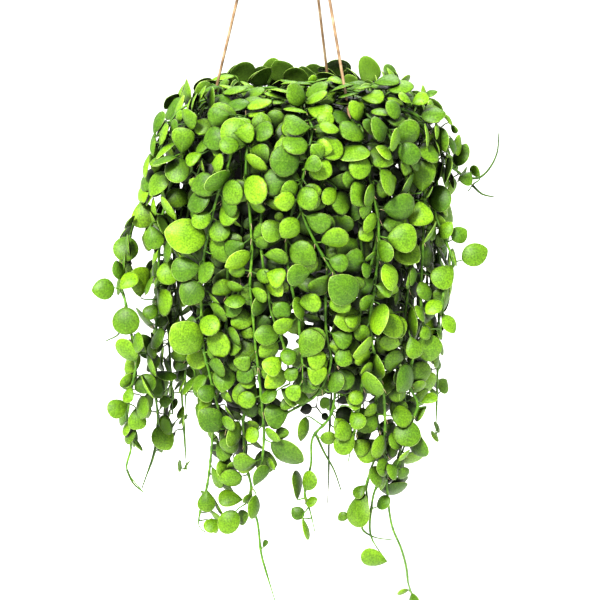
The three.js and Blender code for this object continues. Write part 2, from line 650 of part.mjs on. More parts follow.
// A leaf drawn on the front elevation. One that looks wider than long tips towards the viewer
// or away; one that looks narrow is turned about its midrib.
function frontLeaf(points, drawn, turn, shift, tip, size) {
  const [bu, bv, tu, tv, seen] = drawn;
  const near = nearestOnSheet(points, bu, bv);
  const depth = near.back - 4 + shift;
  const base = sheetPoint(bu, bv, depth);
  const flat = sub(sheetPoint(tu, tv, depth), base);
  const longSeen = length(flat);
  const wideSeen = seen * (1 + depth / VIEW_DISTANCE);
  const long = Math.max(longSeen, wideSeen * 0.98);
  const lean = Math.sqrt(Math.max(0, long * long - longSeen * longSeen)) * (tv > bv ? 1 : -1);
  const midrib = unit(along(flat, TO_VIEWER, lean + tip * longSeen));
  const wide = Math.max(wideSeen, long * 0.84);
  const roll = wideSeen < long * 0.78 ? Math.acos(wideSeen / wide) * turn : 0;
  const level = unit(cross(TO_VIEWER, midrib));
  const side = add(scaled(level, Math.cos(roll)), scaled(cross(midrib, level), Math.sin(roll)));
  const root = bestRoot(points, near, base, midrib);
  return makeLeaf(root, base, midrib, side, long * size, wide * size);
}

// A leaf of a side stem, spread to one side of it and facing out and a little up
function sideLeaf(points, index, stem, hand, attempt, size) {
  const root = points[index];
  const azimuth = Math.atan2(root[1], root[0]);
  const face = 0.25 + 0.35 * draw(stem, index, hand, attempt, 1);
  const out = [Math.cos(azimuth) * Math.cos(face), Math.sin(azimuth) * Math.cos(face), Math.sin(face)];
  const level = [-Math.sin(azimuth), Math.cos(azimuth), 0];
  const down = cross(level, out).map((c) => -c);
  const spread = (0.5 + 1.3 * draw(stem, index, hand, attempt, 2)) * (hand === 0 ? 1 : -1);
  const pitch = 0.55 * draw(stem, index, hand, attempt, 3) - 0.15;
  const flat = add(scaled(down, Math.cos(spread)), scaled(level, Math.sin(spread)));
  const midrib = unit(along(flat, out, pitch));
  const roll = (draw(stem, index, hand, attempt, 4) - 0.5) * 0.9;
  const flatSide = unit(cross(out, midrib));
  const side = add(scaled(flatSide, Math.cos(roll)), scaled(cross(midrib, flatSide), Math.sin(roll)));
  const left = points.length - 1 - index;
  const taper = Math.min(1, 0.5 + 0.22 * left);
  const long = (20 + 10 * draw(stem, index, hand, 5)) * taper * size;
  const wide = long * (0.9 + 0.14 * draw(stem, index, hand, 6));
  const push = 2 + 2 * (attempt % 4);
  const base = along(along(root, out, push), midrib, 4);
  return makeLeaf(root, base, midrib, side, long, wide);
}

const ROOT_REACH = [0, -3, 3, -6, 6, -9, 9, -12, 12];
const SHIFTS = [0, -3, 3, -6, 6, -9, 9, -12, 12, -16, 16, -20, 20, -25, 25, -30, 30];
const TIPS = [0, 0.25, -0.25, 0.5, -0.5];
const SIZES = [1, 0.86, 0.72];
const STEM_APART = 3.6;
const PART_ROUNDS = 12;
const TURN_STEPS = 12;
const TURN_MOST = 0.85;
const TURN_ROOM = 3.4;

// Moves that are tried on a leaf that can't be joined as it is: mm along it, across it and up
const NUDGES = [[3, 0, 0], [0, 0, 2], [0, 0, -2], [0, 2, 0], [0, -2, 0], [5, 0, 2], [5, 0, -2],
  [3, 0, 4], [3, 0, -4], [7, 0, 0], [6, 3, 3], [6, -3, 3], [6, 3, -3], [6, -3, -3]];
const NUDGE_SIZES = [1, 0.85, 0.7];
const ATTEMPTS = 14;
const PAIR_SHARE = 0.82;

// A petiole that meets its blade from behind or from beside can't be drawn without a twist
function wellJoined({ root, base, midrib, side }) {
  const petiole = unit(sub(base, root));
  return dot(petiole, midrib) > -0.3 && Math.abs(dot(petiole, side)) < 0.8;
}

// Each leaf takes the first of its variants that clears all that stands already
function placeLeaves(stems, fixedRods) {
  const rods = [...fixedRods, ...stems.flatMap((stem, i) => rodsAlong(stem.points, STEM_RADIUS, i))];
  const placed = [];
  const fits = (body, stem, own) => wellJoined(body.leaf) && leafClearOfPot(body)
    && rods.every((rod) => rodApart(body, rod.stem === stem ? body.blade : body.all, rod, LEAF_GAP))
    && placed.every((other) => other === own || (other.stem === stem
      ? leavesApart(body, other, body.all, other.blade, LEAF_GAP)
        && leavesApart(body, other, body.blade, other.all, LEAF_GAP)
      : leavesApart(body, other, body.all, other.all, LEAF_GAP)));
  const settle = (stem, variants) => {
    for (const variant of variants) {
      const body = leafBody(variant());
      if (fits(body, stem)) {
        placed.push({ ...body, stem });
        return;
      }
    }
  };
  stems.forEach((stem, i) => {
    stem.leaves.forEach((drawn, j) => {
      const turn = draw(i, j, 7) < 0.5 ? -1 : 1;
      const variants = SIZES.flatMap((size) => SHIFTS.flatMap((shift) => TIPS.map((tip) => (
        () => frontLeaf(stem.points, drawn, turn, shift, tip, size)))));
      settle(i, variants);
    });
  });
  stems.forEach((stem, i) => {
    stem.nodes.forEach(([index, hand]) => {
      const variants = SIZES.flatMap((size) => Array.from({ length: ATTEMPTS }, (_, attempt) => (
        () => sideLeaf(stem.points, index, i, hand, attempt, size))));
      settle(i, variants);
    });
  });
  return { placed, fits };
}

// Nodes of a side stem: a pair of leaves or one of them at each point, from the tip up
function sideNodes(points, stem) {
  const nodes = [];
  for (let index = points.length - 1; index >= 4; index -= 1) {
    const hand = index % 2;
    nodes.push([index, hand]);
    if (draw(stem, index, 8) < PAIR_SHARE || index === points.length - 1) nodes.push([index, 1 - hand]);
  }
  return nodes;
}

const number = (i) => String(i + 1).padStart(2, '0');

function layOutStems() {
  const front = FRONT_STEMS.map((spec, i) => ({
    name: `strand_front_${number(i)}`,
    points: frontStem(spec),
    leaves: spec.leaves,
    nodes: [],
  }));
  const sides = Array.from({ length: SIDE_STEMS.count }, (_, i) => {
    const points = sideStem(i);
    return {
      name: `strand_side_${number(i)}`,
      points,
      leaves: [],
      nodes: sideNodes(points, front.length + i),
    };
  });
  return [...front, ...sides];
}

// Closed meshes from vertices and triangles
function geometryOf(vertices, triangles) {
  const geometry = new THREE.BufferGeometry();
  geometry.setAttribute('position', new THREE.Float32BufferAttribute(vertices.flat(), 3));
  geometry.setIndex(triangles.flat());
  return geometry;
}

function solidOf(geometry) {
  const bare = geometry.clone();
  bare.deleteAttribute('normal');
  bare.deleteAttribute('uv');
  const merged = mergeVertices(bare, 1e-4);
  return new wasm.Manifold(new wasm.Mesh({
    numProp: 3,
    vertProperties: new Float32Array(merged.attributes.position.array),
    triVerts: new Uint32Array(merged.index.array),
  }));
}

function geometryFrom(solid) {
  const mesh = solid.getMesh();
  const geometry = new THREE.BufferGeometry();
  geometry.setAttribute('position', new THREE.Float32BufferAttribute(mesh.vertProperties, 3));
  geometry.setIndex(Array.from(mesh.triVerts));
  return geometry;
}

// The directions across a rod at each of its points, without twist
function framesAlong(points) {
  const last = points.length - 1;
  let across = [1, 0, 0];
  return points.map((p, i) => {
    const before = unit(sub(p, points[Math.max(0, i - 1)]));
    const after = unit(sub(points[Math.min(last, i + 1)], p));
    const tangent = i === 0 ? after : i === last ? before : unit(add(before, after));
    across = unit(along(across, tangent, -dot(across, tangent)));
    return { p, across, other: cross(tangent, across) };
  });
}

// The corners of a rod's section at a frame, turned by an angle
function ringAt({ p, across, other }, radius, sides, turn) {
  return Array.from({ length: sides }, (_, k) => {
    const angle = turn + (2 * Math.PI * k) / sides;
    return along(along(p, across, radius * Math.cos(angle)), other, radius * Math.sin(angle));
  });
}

// A closed rod swept along points
function sweep(points, radius, sides) {
  const last = points.length - 1;
  const vertices = framesAlong(points).flatMap((frame) => ringAt(frame, radius, sides, 0));
  const triangles = [];
  for (let i = 0; i < last; i += 1) {
    for (let k = 0; k < sides; k += 1) {
      const a = i * sides + k;
      const b = i * sides + ((k + 1) % sides);
      triangles.push([a, b, b + sides], [a, b + sides, a + sides]);
    }
  }
  for (let k = 1; k < sides - 1; k += 1) {
    triangles.push([0, k + 1, k], [last * sides, last * sides + k, last * sides + k + 1]);
  }
  return geometryOf(vertices, triangles);
}

// Where the leaves join their stem: each joint is a short length of the stem with one leaf or none
// on each of its sides
function stemJoints(points, bodies) {
  const starts = [0];
  points.slice(1).forEach((p, i) => starts.push(starts[i] + length(sub(p, points[i]))));
  const whole = starts[starts.length - 1];
  const placeOf = (root) => {
    let best = { miss: Infinity, at: 0 };
    points.slice(1).forEach((to, i) => {
      const span = starts[i + 1] - starts[i];
      const t = clamp(dot(sub(root, points[i]), unit(sub(to, points[i]))), 0, span);
      const miss = length(sub(root, along(points[i], unit(sub(to, points[i])), t)));
      if (miss < best.miss) best = { miss, at: starts[i] + t };
    });
    return best.at;
  };
  const wanted = bodies.map((body) => ({ body, at: placeOf(body.leaf.root) })).sort((a, b) => a.at - b.at);
  const joints = [];
  for (const { body, at } of wanted) {
    const last = joints[joints.length - 1];
    if (last && at - last.at < JOINT_REACH && last.bodies.length < 2) {
      last.bodies.push(body);
    } else {
      const from = last ? last.at + 2 * JOINT_HALF + 1 : 0;
      joints.push({ at: clamp(Math.max(at, from), JOINT_HALF + 1, whole), bodies: [body] });
    }
  }
  for (let i = joints.length - 1, most = whole - JOINT_HALF - 0.5; i >= 0; i -= 1) {
    joints[i].at = Math.min(joints[i].at, most);
    most = joints[i].at - 2 * JOINT_HALF - 1;
  }
  return { joints, starts, whole };
}

// How far to turn a stem's section so that its sides face the leaves of a joint, starting from the
// turn of the joint before
function turnTo(bodies, { p, across, other }, start) {
  const bearings = bodies.map(({ leaf }) => {
    const way = sub(leaf.base, p);
    return Math.atan2(dot(way, other), dot(way, across));
  });
  const side = (2 * Math.PI) / STEM_SIDES;
  const miss = (bearing, turn, k) => {
    const off = bearing - turn - side * (k + 0.5);
    return Math.abs(off - 2 * Math.PI * Math.round(off / (2 * Math.PI)));
  };
  const places = bodies.length === 1 ? [[0], [1], [2]] : [[0, 1], [1, 2], [2, 0], [1, 0], [2, 1], [0, 2]];
  let best = { cost: Infinity };
  for (let step = -TURN_STEPS; step <= TURN_STEPS; step += 1) {
    const turn = start + TURN_MOST * (step / TURN_STEPS);
    const worstOf = (sides) => Math.max(...sides.map((k, i) => miss(bearings[i], turn, k)));
    const worst = Math.min(...places.map(worstOf));
    const cost = worst + 0.05 * Math.abs(turn - start);
    if (cost < best.cost) best = { cost, turn };
  }
  return best.turn;
}

// Whether the way from p to q passes through the triangle a, b, c
function passes(p, q, a, b, c) {
  const normal = cross(sub(b, a), sub(c, a));
  const [from, to] = [dot(sub(p, a), normal), dot(sub(q, a), normal)];
  if (from * to >= 0) return false;
  const at = along(p, sub(q, p), from / (from - to));
  return [[a, b], [b, c], [c, a]].every(([d, e]) => dot(cross(sub(e, d), sub(at, d)), normal) > 0);
}

// Whether two triangles of a mesh cut through each other
function trianglesCross(vertices, s, t) {
  const shared = s.filter((corner) => t.includes(corner));
  if (shared.length > 1) return false;
  const [p, q] = [s.map((corner) => vertices[corner]), t.map((corner) => vertices[corner])];
  for (let axis = 0; axis < 3; axis += 1) {
    const [one, other] = [p.map((c) => c[axis]), q.map((c) => c[axis])];
    if (Math.min(...one) > Math.max(...other) || Math.min(...other) > Math.max(...one)) return false;
  }
  const ways = (corners) => [[0, 1], [1, 2], [2, 0]].map(([i, j]) => [corners[i], corners[j]])
    .filter((way) => !way.some((corner) => shared.includes(corner)));
  return ways(s).some(([i, j]) => passes(vertices[i], vertices[j], ...q))
    || ways(t).some(([i, j]) => passes(vertices[i], vertices[j], ...p));
}

// One closed mesh of a stem and its leaves. A leaf takes the place of one side of its joint: the
// one that faces it best, or the next where it would cut through its own stem or a leaf there. One
// that cuts on every side is moved a little or made smaller, where that keeps it clear.
function stemGeometry(points, bodies, fits) {
  const { joints, starts, whole } = stemJoints(points, bodies);
  const pointAt = (at) => {
    let i = 0;
    while (i < starts.length - 2 && starts[i + 1] < at) i += 1;
    return along(points[i], unit(sub(points[i + 1], points[i])), at - starts[i]);
  };
  const plain = starts.filter((at) => joints.every((joint) => Math.abs(at - joint.at) > JOINT_HALF + 2.7)
    || at === 0 || at === whole).map((at) => ({ at }));
  const marks = [...plain, ...joints.flatMap((joint) => [
    { at: joint.at - JOINT_HALF, joint }, { at: joint.at + JOINT_HALF }])].sort((a, b) => a.at - b.at);
  const frames = framesAlong(marks.map(({ at }) => pointAt(at)));
  let turn = 0;
  const rings = marks.map(({ joint }, i) => {
    const room = i > 0 && marks[i].at - marks[i - 1].at > TURN_ROOM;
    if (joint && room) turn = turnTo(joint.bodies, frames[i], turn);
    return ringAt(frames[i], STEM_RADIUS, STEM_SIDES, turn);
  });
  const vertices = rings.flat();
  const last = (marks.length - 1) * STEM_SIDES;
  const skin = new Map([['ends', [[0, 2, 1], [last, last + 1, last + 2]]]]);
  const quadOf = (i, k) => {
    const [a, b] = [i * STEM_SIDES + k, i * STEM_SIDES + ((k + 1) % STEM_SIDES)];
    return [a, b, b + STEM_SIDES, a + STEM_SIDES];
  };
  for (let i = 0; i < marks.length - 1; i += 1) {
    for (let k = 0; k < STEM_SIDES; k += 1) {
      const [a, b, c, d] = quadOf(i, k);
      const straight = length(sub(vertices[a], vertices[c])) <= length(sub(vertices[b], vertices[d]));
      skin.set(i * STEM_SIDES + k, straight ? [[a, b, c], [a, c, d]] : [[a, b, d], [b, c, d]]);
    }
  }
  const grow = (body, i, centre) => {
    const way = unit(sub(body.leaf.base, centre));
    const facing = (k) => {
      const middle = scaled(add(rings[i][k], rings[i + 1][(k + 1) % STEM_SIDES]), 0.5);
      return dot(unit(sub(middle, centre)), way);
    };
    const free = [0, 1, 2].filter((k) => skin.get(i * STEM_SIDES + k).length > 0);
    free.sort((a, b) => facing(b) - facing(a));
    return free.some((k) => {
      const others = [...skin].flatMap(([key, side]) => (key === i * STEM_SIDES + k ? [] : side));
      return [0, 1].some((choice) => {
        const first = vertices.length;
        const grown = joinLeaf(vertices, quadOf(i, k), body, choice);
        const cuts = grown.some((t, m) => others.some((other) => trianglesCross(vertices, t, other))
          || grown.slice(m + 1).some((other) => trianglesCross(vertices, t, other)));
        if (cuts) {
          vertices.length = first;
          return false;
        }
        skin.set(i * STEM_SIDES + k, []);
        skin.set(`leaf ${first}`, grown);
        return true;
      });
    });
  };
  marks.forEach(({ joint }, i) => {
    if (!joint) return;
    const centre = pointAt(joint.at);
    for (const body of joint.bodies) {
      if (grow(body, i, centre)) continue;
      const { leaf, stem } = body;
      NUDGE_SIZES.some((size) => NUDGES.some(([m, s, n]) => {
        const base = along(along(along(leaf.base, leaf.midrib, m), leaf.side, s), leaf.normal, n);
        const moved = leafBody({ ...leaf, base, long: leaf.long * size, wide: leaf.wide * size });
        if (!fits(moved, stem, body) || !grow(moved, i, centre)) return false;
        Object.assign(body, moved);
        return true;
      }));
    }
  });
  for (const [key, side] of skin) if (side.length === 0) skin.delete(key);
  return geometryOf(vertices, [...skin.values()].flat());
}

// The triangles of a leaf that grows out of the four corners of a side, which run round it as seen
// from outside
function joinLeaf(vertices, quad, { rim, top, bottom, under }, choice) {
  // Of the four ways round, those whose corners lie nearest to the petiole's at the rim come first
  const away = (corner, p) => length(sub(vertices[quad[corner % 4]], p));
  const [onRight, onLeft] = [rim[0], rim[rim.length - 1]];
  const start = [0, 1, 2, 3].map((k) => ({
    k,
    miss: away(k, under) + away(k + 1, under) + away(k + 2, onLeft) + away(k + 3, onRight)
      + 0.5 * (away(k, onRight) + away(k + 1, onLeft)),
  })).sort((a, b) => a.miss - b.miss)[choice].k;
  const [lowRight, lowLeft, upLeft, upRight] = [0, 1, 2, 3].map((k) => quad[(start + k) % 4]);
  const first = vertices.length;
  vertices.push(...rim, top, bottom, under);
  const last = first + rim.length - 1;
  const [upper, lower, heel] = [last + 1, last + 2, last + 3];
  const triangles = [
    [upper, last, first], [lower, first, heel], [lower, heel, last],
    [first, last, upLeft], [first, upLeft, upRight], [first, upRight, lowRight], [first, lowRight, heel],
    [heel, lowRight, lowLeft], [heel, lowLeft, last], [last, lowLeft, upLeft],
  ];
  for (let k = first; k < last; k += 1) {
    triangles.push([upper, k, k + 1], [lower, k + 1, k]);
  }
  return triangles;
}

function lathe(profile, sides) {
  const points = profile.map(([radius, z]) => new THREE.Vector2(radius, z));
  return new THREE.LatheGeometry(points, sides).rotateX(Math.PI / 2);
}

function upright(radius, bottom, top, sides, x, y) {
  return new THREE.CylinderGeometry(radius, radius, top - bottom, sides)
    .rotateX(Math.PI / 2)
    .translate(x, y, (top + bottom) / 2);
}

const wireAngles = WIRE_AZIMUTHS.map((degrees) => THREE.MathUtils.degToRad(degrees));
const DRAIN = { count: 4, radius: 4.5, ring: 34, sides: 6 };

function potGeometry() {
  const innerTop = POT_TOP_RADIUS - POT_WALL;
  const innerBase = POT_BASE_RADIUS - POT_WALL;
  let solid = solidOf(lathe([
    [0, -POT_HEIGHT], [POT_BASE_RADIUS, -POT_HEIGHT], [POT_TOP_RADIUS, -RIM_THICKNESS],
    [RIM_RADIUS, -RIM_THICKNESS], [RIM_RADIUS, 0], [innerTop, 0],
    [innerBase, POT_FLOOR - POT_HEIGHT], [0, POT_FLOOR - POT_HEIGHT],
  ], POT_SIDES));
  for (const angle of wireAngles) {
    const [x, y] = polar(WIRE_RING_RADIUS, angle, 0);
    const drill = upright(RIM_HOLE.radius, -2 * RIM_THICKNESS, RIM_THICKNESS, RIM_HOLE.sides, x, y);
    solid = solid.subtract(solidOf(drill));
  }
  for (let i = 0; i < DRAIN.count; i += 1) {
    const [x, y] = polar(DRAIN.ring, (2 * Math.PI * (i + 0.25)) / DRAIN.count, 0);
    const drill = upright(DRAIN.radius, -POT_HEIGHT - 2, -POT_HEIGHT + 6, DRAIN.sides, x, y);
    solid = solid.subtract(solidOf(drill));
  }
  return geometryFrom(solid);
}

// The husk fills the pot; its top is raised and sunk by crossed waves
function mixGeometry(stems) {
  const wallAt = (z) => POT_TOP_RADIUS - POT_WALL
    - (POT_TOP_RADIUS - POT_BASE_RADIUS) * (z / (POT_FLOOR - POT_HEIGHT));
  const bottom = POT_FLOOR - POT_HEIGHT + FIT_GAP;
  const topRadius = (wallAt(MIX_LEVEL) - FIT_GAP) * Math.cos(Math.PI / POT_SIDES);
  const baseRadius = (wallAt(bottom) - FIT_GAP) * Math.cos(Math.PI / POT_SIDES);
  const geometry = lathe([
    [0, bottom], [baseRadius, bottom], [topRadius, MIX_LEVEL],
    ...MIX_RINGS.map((share) => [topRadius * share, MIX_LEVEL]), [0, MIX_LEVEL],
  ], POT_SIDES);
  const position = geometry.attributes.position;
  for (let i = 0; i < position.count; i += 1) {
    const [x, y, z] = [position.getX(i), position.getY(i), position.getZ(i)];
    const radius = Math.hypot(x, y);
    if (z > MIX_LEVEL - 1 && radius < topRadius * 0.9) {
      const wave = Math.sin(x / MIX_WAVE.lengthX + MIX_WAVE.phase) * Math.cos(y / MIX_WAVE.lengthY);
      position.setZ(i, z + MIX_WAVE.height * wave);
    }
  }
  let solid = solidOf(geometry);
  for (const stem of stems) {
    const [foot] = stem.points;
    const hole = [[foot[0], foot[1], foot[2] - FIT_GAP], [foot[0], foot[1], MIX_LEVEL + 4]];
    solid = solid.subtract(solidOf(sweep(hole, STEM_RADIUS + 2 * FIT_GAP, STEM_SIDES)));
  }
  return geometryFrom(solid);
}

// A wire from its socket in the collar down to the rim, through its hole and up round the edge
function wirePath(angle) {
  const under = -RIM_THICKNESS - FIT_GAP - WIRE_RADIUS - 0.4;
  const outside = RIM_RADIUS + FIT_GAP + WIRE_RADIUS + 0.4;
  return [
    [GATHER_RADIUS, GATHER_HEIGHT + 5], [GATHER_RADIUS, GATHER_HEIGHT - 3],
    [GATHER_RADIUS + 3, GATHER_HEIGHT - 14], [WIRE_RING_RADIUS - 2, 9], [WIRE_RING_RADIUS, 2],
    [WIRE_RING_RADIUS, -3], [WIRE_RING_RADIUS + 1.4, under], [outside - 1.6, under], [outside, under + 2],
    [outside, 2.5],
  ].map(([radius, z]) => polar(radius, angle, z));
}

const COLLAR = { radius: 9, height: 10, socketRadius: 2, socketDepth: 5.5, sides: 12, socketSides: 6 };
const BEND_STEPS = 8;

// The hook: a collar with three sockets, a bowed neck and a round bend over the seat
function hookGeometry() {
  const neckFoot = GATHER_HEIGHT + COLLAR.height;
  const bendHeight = HOOK_SHANK_TOP;
  const neck = new THREE.CubicBezierCurve3(
    new THREE.Vector3(0, 0, neckFoot + 2),
    new THREE.Vector3(0, 0, neckFoot + 10),
    new THREE.Vector3(HOOK_BEND_RADIUS, 0, bendHeight - 16),
    new THREE.Vector3(HOOK_BEND_RADIUS, 0, bendHeight),
  ).getPoints(5).map((p) => p.toArray());
  const bend = Array.from({ length: BEND_STEPS }, (_, i) => {
    const angle = (Math.PI * (i + 1)) / BEND_STEPS;
    return [HOOK_BEND_RADIUS * Math.cos(angle), 0, bendHeight + HOOK_BEND_RADIUS * Math.sin(angle)];
  });
  const rod = [[0, 0, neckFoot - 3], ...neck, ...bend, [-HOOK_BEND_RADIUS, 0, bendHeight - 5]];
  let solid = solidOf(upright(COLLAR.radius, GATHER_HEIGHT, neckFoot, COLLAR.sides, 0, 0))
    .add(solidOf(sweep(rod, HOOK_WIRE_RADIUS, 6)));
  for (const angle of wireAngles) {
    const [x, y] = polar(GATHER_RADIUS, angle, 0);
    const socket = upright(COLLAR.socketRadius, GATHER_HEIGHT - 2, GATHER_HEIGHT + COLLAR.socketDepth,
      COLLAR.socketSides, x, y);
    solid = solid.subtract(solidOf(socket));
  }
  return geometryFrom(solid);
}

const material = (color, roughness, metalness) => (
  new THREE.MeshStandardMaterial({ color, roughness, metalness }));
const POT_PLASTIC = material('#1d1a1c', 0.5, 0);
const HUSK = material('#3b2a1d', 0.95, 0);
const RUSTY_STEEL = material('#9a6a45', 0.6, 0.6);
const GREEN = material('#8fc41f', 0.45, 0);

const pot = new THREE.Group();

function addPiece(name, geometry, finish) {
  const mesh = new THREE.Mesh(geometry, finish);
  mesh.name = name;
  pot.add(mesh);
}

const wirePaths = wireAngles.map(wirePath);
const stems = layOutStems();
partStems(stems, wirePaths);
const rimEdge = Array.from({ length: POT_SIDES + 1 }, (_, i) => (
  polar(RIM_RADIUS - RIM_THICKNESS / 2, (2 * Math.PI * i) / POT_SIDES, -RIM_THICKNESS / 2)));
const { placed: leaves, fits } = placeLeaves(stems, [
  ...wirePaths.flatMap((path) => rodsAlong(path, WIRE_RADIUS, -1)),
  ...rodsAlong(rimEdge, RIM_THICKNESS / 2, -1),
]);

addPiece('pot', potGeometry(), POT_PLASTIC);
addPiece('potting_mix', mixGeometry(stems), HUSK);
wirePaths.forEach((path, i) => {
  addPiece(`hanger_wire_${i + 1}`, sweep(path, WIRE_RADIUS, WIRE_SIDES), RUSTY_STEEL);
});
addPiece('hook', hookGeometry(), RUSTY_STEEL);
stems.forEach((stem, i) => {
  addPiece(stem.name, stemGeometry(stem.points, leaves.filter((body) => body.stem === i), fits), GREEN);
});

pot.position.z = -SEAT_HEIGHT;
const part = new THREE.Group();
part.add(pot);

export default part;
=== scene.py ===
import json
import math
import random

import bmesh
import bpy
import numpy as np
from mathutils import Matrix, Vector, noise

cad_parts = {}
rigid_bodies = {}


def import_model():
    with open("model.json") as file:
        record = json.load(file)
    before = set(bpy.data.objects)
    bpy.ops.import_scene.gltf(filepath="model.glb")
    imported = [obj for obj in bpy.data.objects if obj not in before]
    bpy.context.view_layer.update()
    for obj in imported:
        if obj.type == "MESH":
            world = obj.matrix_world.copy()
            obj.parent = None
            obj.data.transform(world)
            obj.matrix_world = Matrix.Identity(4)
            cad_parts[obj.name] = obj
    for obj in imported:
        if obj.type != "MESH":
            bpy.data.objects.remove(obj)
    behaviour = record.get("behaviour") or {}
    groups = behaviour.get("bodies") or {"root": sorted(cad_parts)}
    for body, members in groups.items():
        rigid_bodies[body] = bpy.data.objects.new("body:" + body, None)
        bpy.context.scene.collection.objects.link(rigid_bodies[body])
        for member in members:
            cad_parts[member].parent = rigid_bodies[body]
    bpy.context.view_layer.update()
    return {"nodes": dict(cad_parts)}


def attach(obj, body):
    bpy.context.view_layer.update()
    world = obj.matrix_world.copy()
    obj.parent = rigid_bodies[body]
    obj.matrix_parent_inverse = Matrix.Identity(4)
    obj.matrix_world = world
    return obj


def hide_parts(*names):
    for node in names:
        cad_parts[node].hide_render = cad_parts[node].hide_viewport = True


# A dischidia in its hanging pot. The leafy stems of the frame are read leaf by leaf and built
# again with smooth stems, petioles and domed fleshy blades; more leaves and the inner stems then
# fill the places between them. Lengths in this script are millimetres in the row frame, and a
# piece's mesh is turned to metres as it is made.

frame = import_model()
NODES = frame["nodes"]
METRES = 0.001

# Sizes that the frame was built with. The rim's height is from the seat of the hook, and the other
# heights are from the rim.
RIM_HEIGHT = -348.0
RIM_RADIUS = 90.0
RIM_THICKNESS = 3.0
POT_TOP_RADIUS = 79.0
POT_BASE_RADIUS = 58.0
POT_HEIGHT = 170.0
POT_WALL = 2.4
POT_FLOOR = 3.0
MIX_LEVEL = -14.0
ROOT_DEPTH = 12.0
STEM_SIDE = 1.25 * math.sqrt(3)
BLADE_THICKNESS = 1.5
BLADE_DOME = 0.11
SHOULDER = 124.0
CREST = 32.0
TURN = -30.0


def srgb(code):
    """A hex colour as linear red, green, blue and one."""
    parts = [int(code[i:i + 2], 16) / 255 for i in (1, 3, 5)]
    return [c / 12.92 if c <= 0.04045 else ((c + 0.055) / 1.055) ** 2.4 for c in parts] + [1.0]


# Camera: 1.5 m from the middle of the plant, 24.5 degrees above the level, turned a degree so
# that the hangers lean as they do in the photograph
VIEW_DISTANCE = 1500.0
VIEW_TILT = math.radians(24.5)
VIEW_ROLL = math.radians(-0.97)
VIEW_HEIGHT = RIM_HEIGHT - 185.7
SHEET_HALF = 300.0

TO_VIEWER = Vector((0, -math.cos(VIEW_TILT), math.sin(VIEW_TILT)))
VIEW_RISE = Vector((0, math.sin(VIEW_TILT), math.cos(VIEW_TILT)))
VIEW_RIGHT = Vector((1, 0, 0)) * math.cos(VIEW_ROLL) + VIEW_RISE * math.sin(VIEW_ROLL)
VIEW_UP = VIEW_RISE * math.cos(VIEW_ROLL) - Vector((1, 0, 0)) * math.sin(VIEW_ROLL)


def add_camera():
    data = bpy.data.cameras.new("camera")
    data.sensor_fit = "HORIZONTAL"
    data.angle = 2 * math.atan(SHEET_HALF / VIEW_DISTANCE)
    data.clip_start = 0.05
    data.clip_end = 30
    camera = bpy.data.objects.new("camera", data)
    place = Vector((0, 0, VIEW_HEIGHT)) + TO_VIEWER * VIEW_DISTANCE
    turn = Matrix((VIEW_RIGHT, VIEW_UP, TO_VIEWER)).transposed().to_4x4()
    camera.matrix_world = Matrix.Translation(place * METRES) @ turn
    bpy.context.scene.collection.objects.link(camera)
    bpy.context.scene.camera = camera


def on_sheet(points):
    """Where points appear in the photograph's frame, in its pixels."""
    points = np.asarray(points, float)
    offset = points - np.array([0, 0, VIEW_HEIGHT])
    back = -offset @ np.array(TO_VIEWER)
    shrink = VIEW_DISTANCE / (VIEW_DISTANCE + back)
    u = SHEET_HALF + offset @ np.array(VIEW_RIGHT) * shrink
    v = SHEET_HALF - offset @ np.array(VIEW_UP) * shrink
    return np.stack([u, v], -1)


def sheet_point(u, v, back):
    """The point that appears at a place in the photograph's frame, so far behind the pot's axis."""
    grow = (VIEW_DISTANCE + back) / VIEW_DISTANCE
    offset = VIEW_RIGHT * ((u - SHEET_HALF) * grow) + VIEW_UP * ((SHEET_HALF - v) * grow) - TO_VIEWER * back
    return np.array(offset) + np.array([0, 0, VIEW_HEIGHT])


# Materials

def new_material(name):
    material = bpy.data.materials.new(name)
    material.use_nodes = True
    material.node_tree.nodes.clear()
    return material


def add_node(material, kind, settings=None, links=None):
    """Add a node with its settings and links. A link takes a socket, or a node for its main output."""
    node = material.node_tree.nodes.new(kind)
    for key, value in (settings or {}).items():
        if key == "stops":
            elements = node.color_ramp.elements
            while len(elements) < len(value):
                elements.new(0.5)
            for element, (at, colour) in zip(elements, value):
                element.position = at
                element.color = srgb(colour) if isinstance(colour, str) else (colour, colour, colour, 1)
        elif isinstance(key, str) and hasattr(node, key):
            setattr(node, key, value)
        else:
            node.inputs[key].default_value = srgb(value) if isinstance(value, str) else value
    for key, source in (links or {}).items():
        if isinstance(source, bpy.types.Node):
            source = next(output for output in source.outputs if output.enabled)
        material.node_tree.links.new(node.inputs[key], source)
    return node


